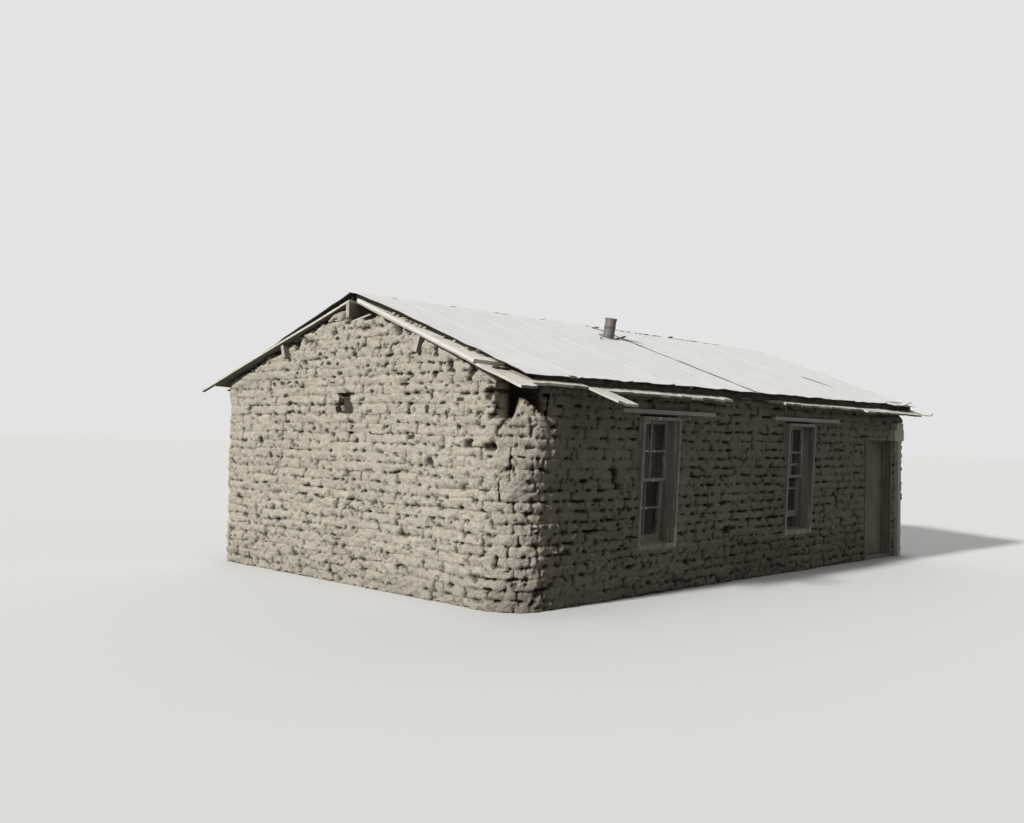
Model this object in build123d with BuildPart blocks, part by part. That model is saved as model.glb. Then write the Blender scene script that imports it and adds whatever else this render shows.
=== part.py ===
"""Turf house: sod walls under a low pitched roof of boards, earth and roofing.

Millimetres. The origin is on the ground at the centre of the walls' footprint.
+X points out of the long wall with the door, +Y runs from the front gable
to the back gable, +Z is up.
"""
import math
import os

from build123d import *

os.makedirs("parts", exist_ok=True)

# Sides of the house
RIGHT = 1
LEFT = -1

# Walls of cut sods
house_length = 8540.0
house_width = 5200.0
wall_height = 2208.0
side_wall = 500.0
front_wall = 500.0
back_wall = 360.0
sod_course = 105.0
step_clearance = 6.0
worn_corner = 450.0
front_left_corner = 130.0
back_corner = 60.0
missing_top_courses = 1
hole_place = 2525.0
hole_course = 18
hole_courses = 2
hole_width = 290.0
hole_depth = 110.0

# Roof
roof_angle = {RIGHT: 19.7, LEFT: 18.44}
board_thickness = 25.0
earth_thickness = 70.0
roofing_thickness = 20.0
left_earth_reach = 1700.0
right_earth_overhang = 150.0
right_roofing_overhang = 190.0
left_eave_overhang = 531.0
roofing_exposed = 844.0
roofing_seam = 5.0

# Front edges of the roof's layers lie askew: how far they pass the front gable's face
boards_overhang_at_ridge = {RIGHT: -100.0, LEFT: 15.0}
boards_overhang_at_eave = {RIGHT: 230.0, LEFT: 220.0}
roofing_overhang_at_ridge = {RIGHT: -30.0, LEFT: 0.0}
roofing_overhang_at_eave = {RIGHT: 65.0, LEFT: 160.0}
earth_setback = 50.0

# Board ends at the right eave: distance from the front gable's face,
# and how far the boards reach past the wall's face up to there
right_board_ends = [(-16, 320), (800, 200), (1100, 630), (3385, 200), (4389, 60), (4663, 150), (6780, 215)]
right_last_reach = 290.0

# Timbers
timber_thickness = 55.0
timber_depth = 170.0
ridge_beam_overhang = 30.0
purlin_overhang = {RIGHT: 50.0, LEFT: 68.0}
purlin_place = 1250.0
plate_width = 150.0
plate_thickness = 50.0
plate_inset = 250.0
plate_setback = 150.0
rake_plank_thickness = 36.0
rake_plank_width = 440.0
rake_plank_start = 40.0
rake_plank_length = 2330.0
rake_plank_proud = 30.0

# Windows
sash_width = 618.0
upper_sash_height = 678.0
lower_sash_height = 708.0
sash_thickness = 40.0
stile = 45.0
meeting_rail = 35.0
bottom_rail = 75.0
muntin = 18.0
glass_thickness = 3.0
sash_clearance = 0.5
frame_plank = 38.0
sill_plank = 50.0
frame_depth = 460.0
sash_recess = 150.0
bead = 12.0
bead_depth = 20.0
parting_bead = 10.0
window_lean = 2.4
front_window_place = 2280.0
back_window_place = 5362.0
raised_sash = 150.0
lintel_drop = 208.0
lintel_gap = 31.0
lintel_thickness = 45.0
lintel_bearing = 512.0
lintel_shift = 200.0
lintel_depth = 400.0
lintel_proud = 30.0

# Door
door_width = 800.0
door_drop = 473.0
door_lining = 40.0
door_recess = 140.0
leaf_thickness = 36.0
leaf_gap = 8.0
leaf_foot_gap = 12.0
leaf_planks = 5
plank_groove = 3.0
ledge_width = 120.0
ledge_thickness = 25.0
ledge_end_gap = 60.0
stop_width = 25.0
stop_depth = 30.0
stop_clearance = 5.0
threshold_depth = 200.0
hinge_to_lining = 20.0
hinge_to_leaf = 12.0
pintle_radius = 6.0
knuckle_radius = 11.0
knuckle_clearance = 0.4
strap_height = 40.0
strap_thickness = 5.0
strap_length = 520.0
strap_inset = 280.0
pintle_plate = 4.0
handle_height = 900.0
handle_reach = 45.0
handle_length = 150.0
handle_radius = 9.0

# Post and blocks beside the door
post_width = 100.0
post_depth = 62.0
post_gap = 75.0
lower_block_length = 310.0
lower_block_depth = 100.0
lower_block_height = 165.0
upper_block_length = 215.0
upper_block_depth = 90.0
upper_block_height = 100.0

# Floor and stovepipe
floor_thickness = 40.0
pipe_radius = 75.0
pipe_wall = 2.0
pipe_from_ridge = 590.0
pipe_from_front = 3850.0
pipe_lean = 10.0
pipe_above = 250.0
pipe_below = 160.0
pipe_rim = 6.0
pipe_rim_height = 30.0
collar_radius = 140.0
collar_thickness = 4.0
pipe_clearance = 0.5
pipe_trap = 200.0
pipe_bay = 400.0

# Places worked out from the sizes above
front_face = -house_length / 2
back_face = house_length / 2
front_inside = front_face + front_wall
back_inside = back_face - back_wall
outside = house_width / 2
inside = outside - side_wall
ridge_height = wall_height + outside * math.tan(math.radians(roof_angle[RIGHT]))
door_height = wall_height - door_drop
door_far = back_inside - door_lining
door_near = door_far - door_width
wall_end = door_near - door_lining
lining_top = door_height + door_lining
window_places = {
    "front": front_face + front_window_place,
    "back": front_face + back_window_place,
}
opening_width = sash_width + 2 * sash_clearance + 2 * frame_plank
sash_span = upper_sash_height + lower_sash_height - meeting_rail
opening_height = sill_plank + sash_span + sash_clearance + frame_plank
track = sash_thickness + 2 * sash_clearance
lintel_height = wall_height - lintel_drop - lintel_thickness
sill_height = lintel_height - lintel_gap - opening_height
lintel_length = opening_width + 2 * lintel_bearing
roofing_reach = {RIGHT: outside + right_roofing_overhang, LEFT: outside + left_eave_overhang}


def fall(side):
    """Drop of the roof for each millimetre away from the ridge."""
    return math.tan(math.radians(roof_angle[side]))


def upright(side, thickness):
    """Height of a layer on the slope, measured straight up."""
    return thickness / math.cos(math.radians(roof_angle[side]))


def boards_under(side, distance):
    """Height of the roof boards' underside at a distance from the ridge."""
    return ridge_height - fall(side) * distance


def across(y):
    """Upright plane that faces the front gable, at a place along the house."""
    return Plane(origin=(0, y, 0), x_dir=(1, 0, 0), z_dir=(0, -1, 0))


def save(part, name):
    """Name a finished piece and write it."""
    part.label = name
    export_step(part, f"parts/{name}.step")


def band_points(side, reach, low, high):
    """Corners of a roof layer's cross-section, from the ridge to its reach."""
    return [
        (0, ridge_height + low),
        (side * reach, boards_under(side, reach) + low),
        (side * reach, boards_under(side, reach) + high),
        (0, ridge_height + high),
    ]


# Ridge beam, with its top cut to both slopes
half_timber = timber_thickness / 2
with BuildPart() as ridge_beam:
    with BuildSketch(across(back_face)):
        with BuildLine():
            Polyline(
                (-half_timber, ridge_height - timber_depth),
                (half_timber, ridge_height - timber_depth),
                (half_timber, boards_under(RIGHT, half_timber)),
                (0, ridge_height),
                (-half_timber, boards_under(LEFT, half_timber)),
                close=True,
            )
        make_face()
    extrude(amount=house_length + ridge_beam_overhang)
save(ridge_beam.part, "ridge_beam")


def sloped_timber(side, place, width, depth, y_end, length):
    """Timber square to the slope, its top against the roof boards."""
    angle = math.radians(roof_angle[side])
    centre_x = side * (place - math.sin(angle) * depth / 2)
    centre_z = boards_under(side, place) - math.cos(angle) * depth / 2
    with BuildPart() as timber:
        with BuildSketch(across(y_end)):
            with Locations((centre_x, centre_z)):
                Rectangle(width, depth, rotation=-side * roof_angle[side])
        extrude(amount=length)
    return timber.part


side_name = {RIGHT: "right", LEFT: "left"}
purlins = {}
plates = {}
for side in (RIGHT, LEFT):
    purlins[side] = sloped_timber(
        side, purlin_place, timber_thickness, timber_depth, back_face, house_length + purlin_overhang[side]
    )
    plates[side] = sloped_timber(
        side, outside - plate_inset, plate_width, plate_thickness,
        back_face - plate_setback, house_length - 2 * plate_setback,
    )
for name, timbers in (("purlins", purlins), ("wall_plates", plates)):
    with BuildPart() as pair:
        for timber in timbers.values():
            add(timber)
    save(pair.part, name)


def stepped_side(side, missing):
    """Corners of the stepped sods up one side of a gable, from the eave to the middle."""
    points = []
    courses = int((ridge_height - step_clearance) // sod_course) - missing
    for course in range(1, courses + 1):
        top = course * sod_course
        reach = min(outside, (ridge_height - step_clearance - top) / fall(side))
        if reach < outside and not points:
            points.append((side * outside, top - sod_course))
        if points:
            points.append((side * reach, top - sod_course))
            points.append((side * reach, top))
    return points


def gable_wall(y_end, thickness, outer_y, corner_radii, missing):
    """Gable of sods, stepped under the boards, with pockets for the timbers."""
    right_steps = stepped_side(RIGHT, missing)
    left_steps = stepped_side(LEFT, 0)
    middle = [(0, right_steps[-1][1]), (0, left_steps[-1][1])] if missing else []
    with BuildPart() as wall:
        with BuildSketch(across(y_end)):
            with BuildLine():
                Polyline(
                    (-outside, 0), (outside, 0), *right_steps, *middle, *reversed(left_steps), close=True
                )
            make_face()
        extrude(amount=thickness)
        with BuildSketch(Plane.XY) as plan:
            with Locations((0, y_end - thickness / 2)):
                Rectangle(house_width, thickness)
            corners = plan.vertices().group_by(Axis.Y)[0 if outer_y < 0 else -1].sort_by(Axis.X)
            fillet(corners[0], radius=corner_radii[0])
            worn = plan.vertices().filter_by(lambda v: v.X > outside - 1)
            worn = worn.group_by(Axis.Y)[0 if outer_y < 0 else -1]
            fillet(worn, radius=corner_radii[1])
        extrude(amount=ridge_height, mode=Mode.INTERSECT)
        add(ridge_beam.part, mode=Mode.SUBTRACT)
        for side in (RIGHT, LEFT):
            add(purlins[side], mode=Mode.SUBTRACT)
            add(plates[side], mode=Mode.SUBTRACT)
    return wall.part


front_corners = (front_left_corner, worn_corner)
whole_front_wall = gable_wall(front_inside, front_wall, front_face, front_corners, missing_top_courses)

# Two courses of sods have fallen out of one place in the front gable
with BuildPart() as front_gable_wall:
    add(whole_front_wall)
    with BuildSketch(across(front_face + hole_depth)):
        with Locations((-outside + hole_place, (hole_course + hole_courses / 2) * sod_course)):
            Rectangle(hole_width, hole_courses * sod_course)
    extrude(amount=hole_depth, mode=Mode.SUBTRACT)
save(front_gable_wall.part, "front_gable_wall")
save(gable_wall(back_face, back_wall, back_face, (back_corner, back_corner), 0), "back_gable_wall")


def window_plane(side, y):
    """Plane of a window frame's outer face: origin at its foot, normal outwards."""
    lean = math.radians(window_lean)
    return Plane(
        origin=(side * outside, y, sill_height),
        x_dir=(0, side, 0),
        z_dir=(side * math.cos(lean), 0, -math.sin(lean)),
    )


def lintel_plank(side, y):
    """Plank over a window, slightly proud of the wall."""
    centre_x = side * (outside + lintel_proud - (lintel_depth + lintel_proud) / 2)
    with BuildPart() as plank:
        with BuildSketch(Plane.XY.offset(lintel_height)):
            with Locations((centre_x, y + lintel_shift)):
                Rectangle(lintel_depth + lintel_proud, lintel_length)
        extrude(amount=lintel_thickness)
    return plank.part


lintels = {side: [lintel_plank(side, y) for y in window_places.values()] for side in (RIGHT, LEFT)}
for side in (RIGHT, LEFT):
    with BuildPart() as both_lintels:
        for plank in lintels[side]:
            add(plank)
    save(both_lintels.part, f"{side_name[side]}_lintel_planks")


def side_profile(side, foot):
    """Cross-section of a long wall from its foot to the roof boards."""
    return [
        (side * inside, foot),
        (side * outside, foot),
        (side * outside, boards_under(side, outside)),
        (side * inside, boards_under(side, inside)),
    ]


def long_wall(side, y_end, foot=0.0, with_windows=True):
    """Long wall of sods up to a place along the house."""
    start = front_inside if with_windows else wall_end
    with BuildPart() as wall:
        with BuildSketch(across(y_end)):
            with BuildLine():
                Polyline(*side_profile(side, foot), close=True)
            make_face()
        extrude(amount=y_end - start)
        add(plates[side], mode=Mode.SUBTRACT)
        if with_windows:
            for y in window_places.values():
                with BuildSketch(window_plane(side, y)):
                    with Locations((0, opening_height / 2)):
                        Rectangle(opening_width, opening_height)
                extrude(amount=side_wall + frame_depth, both=True, mode=Mode.SUBTRACT)
            for plank in lintels[side]:
                add(plank, mode=Mode.SUBTRACT)
    return wall.part


save(long_wall(RIGHT, wall_end), "right_wall")
save(long_wall(RIGHT, back_inside, foot=lining_top, with_windows=False), "right_wall_over_door")
save(long_wall(LEFT, back_inside), "left_wall")

# Plank floor, with a tongue through the doorway as far as the threshold
threshold_inner = outside - threshold_depth
with BuildPart() as floor:
    with BuildSketch(Plane.XY):
        with Locations((0, (front_inside + back_inside) / 2)):
            Rectangle(2 * inside, back_inside - front_inside)
        with Locations(((inside + threshold_inner) / 2, (door_near + door_far) / 2)):
            Rectangle(threshold_inner - inside, door_width)
    extrude(amount=floor_thickness)
save(floor.part, "floor")

# Stovepipe, leaning, with a collar that lies on the roofing
roof_stack = board_thickness + earth_thickness + roofing_thickness
pipe_x = pipe_from_ridge
pipe_y = front_face + pipe_from_front
pipe_top_z = boards_under(RIGHT, pipe_x) + upright(RIGHT, roof_stack)
lean = math.radians(pipe_lean)
pipe_plane = Plane(
    origin=(pipe_x, pipe_y, pipe_top_z),
    x_dir=(math.cos(lean), 0, -math.sin(lean)),
    z_dir=(math.sin(lean), 0, math.cos(lean)),
)
slope = math.radians(roof_angle[RIGHT])
collar_plane = Plane(
    origin=(pipe_x, pipe_y, pipe_top_z),
    x_dir=(math.cos(slope), 0, -math.sin(slope)),
    z_dir=(math.sin(slope), 0, math.cos(slope)),
)
pipe_foot = upright(RIGHT, roof_stack) + pipe_below
with BuildPart() as stovepipe:
    with BuildSketch(pipe_plane.offset(-pipe_foot)):
        Circle(pipe_radius)
    extrude(amount=pipe_foot + pipe_above)
    with BuildSketch(collar_plane):
        Circle(collar_radius)
    extrude(amount=collar_thickness)
    with BuildSketch(pipe_plane.offset(pipe_above - pipe_rim_height)):
        Circle(pipe_radius + pipe_rim)
    extrude(amount=pipe_rim_height)
    with BuildSketch(pipe_plane.offset(-pipe_foot)):
        Circle(pipe_radius - pipe_wall)
    extrude(amount=pipe_foot + pipe_above, mode=Mode.SUBTRACT)
save(stovepipe.part, "stovepipe")

# The roofing fits the pipe; boards and earth are cut square around it
trap_x = pipe_x - (earth_thickness + board_thickness) / 2 * math.tan(lean)
with BuildPart() as pipe_hole:
    with BuildSketch(pipe_plane.offset(-pipe_foot)):
        Circle(pipe_radius + pipe_clearance)
    extrude(amount=pipe_foot + pipe_above)
with BuildPart() as square_hole:
    with BuildSketch(Plane.XY):
        with Locations((trap_x, pipe_y)):
            Rectangle(pipe_trap, pipe_trap)
    extrude(amount=2 * ridge_height)

# Stretch of boards and earth that the pipe goes through
with BuildPart() as bay_at_pipe:
    with BuildSketch(Plane.XY):
        with Locations((0, pipe_y)):
            Rectangle(2 * house_width, pipe_bay)
    extrude(amount=2 * ridge_height)


def save_around_pipe(layer, rest_name, bay_name):
    """Write the stretch of a roof layer that the pipe goes through apart from the rest."""
    for mode, name in ((Mode.SUBTRACT, rest_name), (Mode.INTERSECT, bay_name)):
        with BuildPart() as stretch:
            add(layer)
            add(bay_at_pipe.part, mode=mode)
        save(stretch.part, name)


def within(outline):
    """Upright space over a plan outline, to cut a roof layer to its edges."""
    with BuildPart() as space:
        with BuildSketch(Plane.XY):
            with BuildLine():
                Polyline(*outline, close=True)
            make_face()
        extrude(amount=2 * ridge_height)
    return space.part


def layer(profile, length):
    """Roof layer with an even cross-section, from the back face towards the front."""
    with BuildPart() as slab:
        with BuildSketch(across(back_face)):
            with BuildLine():
                Polyline(*profile, close=True)
            make_face()
        extrude(amount=length)
    return slab.part


def board_outline(side):
    """Plan of the roof boards on one side, with their ragged ends at the right eave."""
    start = front_face - boards_overhang_at_eave[side]
    points = [(0, front_face - boards_overhang_at_ridge[side])]
    if side == LEFT:
        edge = LEFT * (outside + left_eave_overhang)
        points += [(edge, start), (edge, back_face)]
    else:
        for place, reach in right_board_ends:
            end = front_face + place
            points += [(outside + reach, start), (outside + reach, end)]
            start = end
        points += [(outside + right_last_reach, start), (outside + right_last_reach, back_face)]
    points.append((0, back_face))
    return points


longest_reach = outside + max(reach for place, reach in right_board_ends)
layer_length = house_length + max(boards_overhang_at_eave.values())
decks = {}
for side in (RIGHT, LEFT):
    with BuildPart() as deck:
        add(layer(band_points(side, longest_reach, 0, upright(side, board_thickness)), layer_length))
        add(within(board_outline(side)), mode=Mode.INTERSECT)
        add(square_hole.part, mode=Mode.SUBTRACT)
    decks[side] = deck.part
save(decks[LEFT], "left_roof_boards")
save_around_pipe(decks[RIGHT], "right_roof_boards", "pipe_roof_boards")

# Plank on the boards along the front right rake, slightly proud of their skewed front edge
boards_skew = math.atan2(
    boards_overhang_at_eave[RIGHT] - boards_overhang_at_ridge[RIGHT],
    (outside + right_board_ends[0][1]) / math.cos(slope),
)
rake_front = front_face - boards_overhang_at_ridge[RIGHT] - rake_plank_proud
rake_plane = Plane(
    origin=(0, rake_front, ridge_height + upright(RIGHT, board_thickness)),
    x_dir=(math.cos(slope), 0, -math.sin(slope)),
    z_dir=(math.sin(slope), 0, math.cos(slope)),
)
with BuildPart() as rake_plank:
    with BuildSketch(rake_plane):
        with Locations(Rotation(0, 0, -math.degrees(boards_skew))):
            with Locations((rake_plank_start, 0)):
                Rectangle(rake_plank_length, rake_plank_width, align=(Align.MIN, Align.MIN))
    extrude(amount=rake_plank_thickness)
save(rake_plank.part, "front_rake_plank")


def front_cut(side, setback):
    """Plan of the roof behind the roofing's skewed front edge, or behind a line set back from it."""
    reach = roofing_reach[side]
    return [
        (0, front_face - roofing_overhang_at_ridge[side] + setback),
        (side * reach, front_face - roofing_overhang_at_eave[side] + setback),
        (side * reach, back_face),
        (0, back_face),
    ]


# Earth over the boards: even on the right, tapering out down the left slope
boards_top = {side: upright(side, board_thickness) for side in (RIGHT, LEFT)}
earth_top = {side: boards_top[side] + upright(side, earth_thickness) for side in (RIGHT, LEFT)}
right_slope = band_points(RIGHT, outside + right_earth_overhang, boards_top[RIGHT], earth_top[RIGHT])
left_slope = [
    (0, ridge_height + earth_top[RIGHT]),
    (-left_earth_reach, boards_under(LEFT, left_earth_reach) + boards_top[LEFT]),
    (0, ridge_height + boards_top[LEFT]),
]
with BuildPart() as right_earth:
    add(layer(right_slope, layer_length))
    add(within(front_cut(RIGHT, earth_setback)), mode=Mode.INTERSECT)
    add(rake_plank.part, mode=Mode.SUBTRACT)
    add(square_hole.part, mode=Mode.SUBTRACT)
save_around_pipe(right_earth.part, "right_earth_layer", "pipe_earth_layer")

with BuildPart() as left_earth:
    add(layer(left_slope, layer_length))
    add(within(front_cut(LEFT, earth_setback)), mode=Mode.INTERSECT)
save(left_earth.part, "left_earth_layer")


def roofing_points(side):
    """Cross-section of the roofing on one side, laid on the earth and boards."""
    rise = upright(side, roofing_thickness)
    if side == RIGHT:
        return band_points(side, roofing_reach[side], earth_top[side], earth_top[side] + rise)
    reach = roofing_reach[side]
    eave = boards_under(side, reach) + boards_top[side]
    bend = left_slope[1]
    return [
        left_slope[0],
        bend,
        (-reach, eave),
        (-reach, eave + rise),
        (bend[0], bend[1] + rise),
        (0, left_slope[0][1] + rise),
    ]


def roofing_width(side, start, end):
    """One width of roofing that runs from the ridge to the eave."""
    with BuildPart() as width:
        with BuildSketch(across(end)):
            with BuildLine():
                Polyline(*roofing_points(side), close=True)
            make_face()
        extrude(amount=end - start)
        add(within(front_cut(side, 0)), mode=Mode.INTERSECT)
        add(pipe_hole.part, mode=Mode.SUBTRACT)
    return width.part


# Roofing, with open seams between its widths; the width that the pipe goes through is by itself
for side in (RIGHT, LEFT):
    plain_widths = []
    start = front_face - roofing_overhang_at_eave[side]
    while start < back_face - roofing_seam:
        end = min(start + roofing_exposed, back_face)
        width = roofing_width(side, start, end)
        if side == RIGHT and start < pipe_y < end:
            save(width, "pipe_roofing")
        else:
            plain_widths.append(width)
        start = end + roofing_seam
    with BuildPart() as roofing:
        for width in plain_widths:
            add(width)
    save(roofing.part, f"{side_name[side]}_roofing")


def window_frame(plane):
    """Plank box that lines the wall's opening, with beads for two sashes."""
    inner_width = opening_width - 2 * frame_plank
    inner_height = opening_height - frame_plank - sill_plank
    inner_centre = sill_plank + inner_height / 2
    beads = [
        (sash_recess - bead_depth, bead_depth),
        (sash_recess + track, parting_bead),
        (sash_recess + 2 * track + parting_bead, bead_depth),
    ]
    with BuildPart() as frame:
        with BuildSketch(plane):
            with Locations((0, opening_height / 2)):
                Rectangle(opening_width, opening_height)
            with Locations((0, inner_centre)):
                Rectangle(inner_width, inner_height, mode=Mode.SUBTRACT)
        extrude(amount=-frame_depth)
        for place, depth in beads:
            with BuildSketch(plane.offset(-place)):
                for end in (-1, 1):
                    with Locations((end * (inner_width - bead) / 2, inner_centre)):
                        Rectangle(bead, inner_height)
            extrude(amount=-depth)
    return frame.part


def pane_places(foot, height, low_rail):
    """Centres and size of a sash's four panes in the window's plane."""
    pane_width = (sash_width - 2 * stile - muntin) / 2
    high_rail = stile if low_rail == meeting_rail else meeting_rail
    pane_height = (height - low_rail - high_rail - muntin) / 2
    centre = foot + low_rail + pane_height + muntin / 2
    step_x = (pane_width + muntin) / 2
    step_y = (pane_height + muntin) / 2
    places = [(i * step_x, centre + j * step_y) for i in (-1, 1) for j in (-1, 1)]
    return places, pane_width, pane_height


def window_sash(plane, foot, height, low_rail):
    """Sash with two panes by two, its outer face on the plane."""
    places, pane_width, pane_height = pane_places(foot, height, low_rail)
    with BuildPart() as sash:
        with BuildSketch(plane):
            with Locations((0, foot + height / 2)):
                Rectangle(sash_width, height)
            with Locations(*places):
                Rectangle(pane_width, pane_height, mode=Mode.SUBTRACT)
        extrude(amount=-sash_thickness)
    return sash.part


for side in (RIGHT, LEFT):
    for place, y in window_places.items():
        plane = window_plane(side, y)
        raised = raised_sash if side == RIGHT and place == "back" else 0.0
        upper_foot = sill_plank + lower_sash_height - meeting_rail
        upper_plane = plane.offset(-sash_recess - sash_clearance)
        lower_plane = upper_plane.offset(-track - parting_bead)
        sashes = {
            "upper": (upper_plane, upper_foot, upper_sash_height, meeting_rail),
            "lower": (lower_plane, sill_plank + raised, lower_sash_height, bottom_rail),
        }
        window = f"{side_name[side]}_{place}_window"
        save(window_frame(plane), f"{window}_frame")
        with BuildPart() as glass:
            for sash_plane, foot, height, low_rail in sashes.values():
                places, pane_width, pane_height = pane_places(foot, height, low_rail)
                middle = (sash_thickness - glass_thickness) / 2
                with BuildSketch(sash_plane.offset(-middle)):
                    with Locations(*places):
                        Rectangle(pane_width, pane_height)
                extrude(amount=-glass_thickness)
        save(glass.part, f"{window}_glass")
        for which, sizes in sashes.items():
            save(window_sash(*sizes), f"{window}_{which}_sash")

# Door frame: linings, head, stops and threshold
leaf_outer = outside - door_recess
leaf_inner = leaf_outer - leaf_thickness
door_middle = (door_near + door_far) / 2
stop_x = leaf_outer + stop_clearance
with BuildPart() as door_frame:
    with BuildSketch(Plane.YZ.offset(inside)):
        with Locations((door_middle, lining_top / 2)):
            Rectangle(door_width + 2 * door_lining, lining_top)
        with Locations((door_middle, door_height / 2)):
            Rectangle(door_width, door_height, mode=Mode.SUBTRACT)
    extrude(amount=side_wall)
    with BuildSketch(Plane.YZ.offset(stop_x)):
        with Locations((door_middle, door_height / 2)):
            Rectangle(door_width, door_height)
        with Locations((door_middle, (door_height - stop_width) / 2)):
            Rectangle(door_width - 2 * stop_width, door_height - stop_width, mode=Mode.SUBTRACT)
    extrude(amount=stop_depth)
    with BuildSketch(Plane.XY):
        with Locations((outside - threshold_depth / 2, door_middle)):
            Rectangle(threshold_depth, door_width)
    extrude(amount=floor_thickness)
save(door_frame.part, "door_frame")

# Door leaf: upright planks with grooves between them, held by three ledges inside
leaf_foot = floor_thickness + leaf_foot_gap
leaf_top = door_height - leaf_gap
leaf_width = door_width - 2 * leaf_gap
leaf_height = leaf_top - leaf_foot
plank_width = leaf_width / leaf_planks
leaf_middle = (leaf_foot + leaf_top) / 2
ledge_places = [leaf_foot + ledge_width, leaf_middle, leaf_top - ledge_width]
strap_places = [leaf_foot + strap_inset, leaf_top - strap_inset - strap_height]
with BuildPart() as door_leaf:
    with BuildSketch(Plane.YZ.offset(leaf_inner)):
        with Locations((door_middle, leaf_middle)):
            Rectangle(leaf_width, leaf_height)
    extrude(amount=leaf_thickness)
    with BuildSketch(Plane.YZ.offset(leaf_outer - plank_groove)):
        for seam in range(1, leaf_planks):
            with Locations((door_middle - leaf_width / 2 + seam * plank_width, leaf_middle)):
                Rectangle(plank_groove, leaf_height)
    extrude(amount=plank_groove, mode=Mode.SUBTRACT)
    with BuildSketch(Plane.YZ.offset(leaf_inner)):
        for z in ledge_places:
            with Locations((door_middle, z)):
                Rectangle(leaf_width - 2 * ledge_end_gap, ledge_width)
    extrude(amount=-ledge_thickness)
save(door_leaf.part, "door_leaf")

# Strap hinges on the leaf and the pintles that carry them
hinge_x = leaf_inner - hinge_to_leaf
hinge_y = door_far - hinge_to_lining
with BuildPart() as door_straps:
    for z in strap_places:
        with BuildSketch(Plane.XY.offset(z)):
            with Locations((leaf_inner - strap_thickness / 2, hinge_y - strap_length / 2)):
                Rectangle(strap_thickness, strap_length)
            with Locations((hinge_x, hinge_y)):
                Circle(knuckle_radius)
        extrude(amount=strap_height)
        with BuildSketch(Plane.XY.offset(z)):
            with Locations((hinge_x, hinge_y)):
                Circle(pintle_radius + knuckle_clearance)
        extrude(amount=strap_height, mode=Mode.SUBTRACT)
save(door_straps.part, "door_straps")

with BuildPart() as door_pintles:
    for z in strap_places:
        shank = z - knuckle_clearance - pintle_radius
        with BuildSketch(Plane.XY.offset(shank - pintle_radius)):
            with Locations((hinge_x, hinge_y)):
                Circle(pintle_radius)
        extrude(amount=strap_height + 2 * pintle_radius)
        with BuildSketch(across(door_far)):
            with Locations((hinge_x, shank)):
                Circle(pintle_radius)
        extrude(amount=hinge_to_lining)
        with BuildSketch(across(door_far)):
            with Locations((hinge_x - pintle_radius, shank)):
                Rectangle(4 * pintle_radius, strap_height)
        extrude(amount=pintle_plate)
save(door_pintles.part, "door_pintles")

# Pull handle outside, near the leaf's free edge
handle_y = door_near + leaf_gap + plank_width / 2
with BuildPart() as door_handle:
    with BuildSketch(Plane.YZ.offset(leaf_outer)):
        for end in (-1, 1):
            with Locations((handle_y, handle_height + end * handle_length / 2)):
                Circle(handle_radius)
    extrude(amount=handle_reach)
    with BuildSketch(Plane.XY.offset(handle_height - handle_length / 2 - handle_radius)):
        with Locations((leaf_outer + handle_reach, handle_y)):
            Circle(handle_radius)
    extrude(amount=handle_length + 2 * handle_radius)
save(door_handle.part, "door_handle")

# Post on the wall's face beyond the door, and the two blocks on its head
post_near = back_inside + post_gap
post_middle = post_near + post_width / 2
with BuildPart() as door_post:
    with BuildSketch(Plane.XY):
        with Locations((outside + post_depth / 2, post_middle)):
            Rectangle(post_depth, post_width)
    extrude(amount=door_height)
save(door_post.part, "door_post")

blocks = [
    (lower_block_length, lower_block_depth, lower_block_height),
    (upper_block_length, upper_block_depth, upper_block_height),
]
with BuildPart() as post_blocks:
    foot = door_height
    for length, depth, height in blocks:
        with BuildSketch(Plane.XY.offset(foot)):
            with Locations((outside + depth / 2, post_near + post_width - length / 2)):
                Rectangle(depth, length)
        extrude(amount=height)
        foot += height
save(post_blocks.part, "post_blocks")
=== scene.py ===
"""Looks of the turf house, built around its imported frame.

Metres, in the frame's own axes: +X out of the long wall with the door,
+Y from the front gable to the back gable, +Z up from the ground.
"""
import itertools
import math

import bpy
import numpy as np
from mathutils import Matrix, Vector, kdtree


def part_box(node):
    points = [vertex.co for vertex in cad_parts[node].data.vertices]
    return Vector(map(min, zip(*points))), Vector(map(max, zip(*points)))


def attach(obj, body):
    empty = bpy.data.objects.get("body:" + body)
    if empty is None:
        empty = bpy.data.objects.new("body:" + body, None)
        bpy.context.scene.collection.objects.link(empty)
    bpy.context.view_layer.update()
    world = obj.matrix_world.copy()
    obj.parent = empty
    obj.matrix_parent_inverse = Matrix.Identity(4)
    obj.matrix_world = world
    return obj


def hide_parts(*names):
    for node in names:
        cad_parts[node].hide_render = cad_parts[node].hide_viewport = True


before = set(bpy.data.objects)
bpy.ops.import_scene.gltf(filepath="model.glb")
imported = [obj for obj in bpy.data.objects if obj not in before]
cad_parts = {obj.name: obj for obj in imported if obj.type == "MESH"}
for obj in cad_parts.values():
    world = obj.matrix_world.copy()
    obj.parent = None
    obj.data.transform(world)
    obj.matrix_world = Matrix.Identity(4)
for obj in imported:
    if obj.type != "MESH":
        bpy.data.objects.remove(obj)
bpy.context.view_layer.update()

# Sizes that the frame doesn't name
RIGHT, LEFT = 1, -1
COURSE = 0.105
STEP_CLEARANCE = 0.006
SLOPE = {RIGHT: math.tan(math.radians(19.7)), LEFT: math.tan(math.radians(18.44))}
BOARD_THICKNESS, EARTH_THICKNESS, RAKE_PLANK_THICKNESS = 0.025, 0.070, 0.036
CORNERS = {"front_left": 0.13, "front_right": 0.45, "back": 0.06}
HOLE = {"x": -0.075, "width": 0.29, "low": 18 * COURSE, "high": 20 * COURSE, "depth": 0.11}
LEFT_EARTH_REACH = 1.7
EARTH_SETBACK = {RIGHT: 0.02, LEFT: 0.05}
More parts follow.
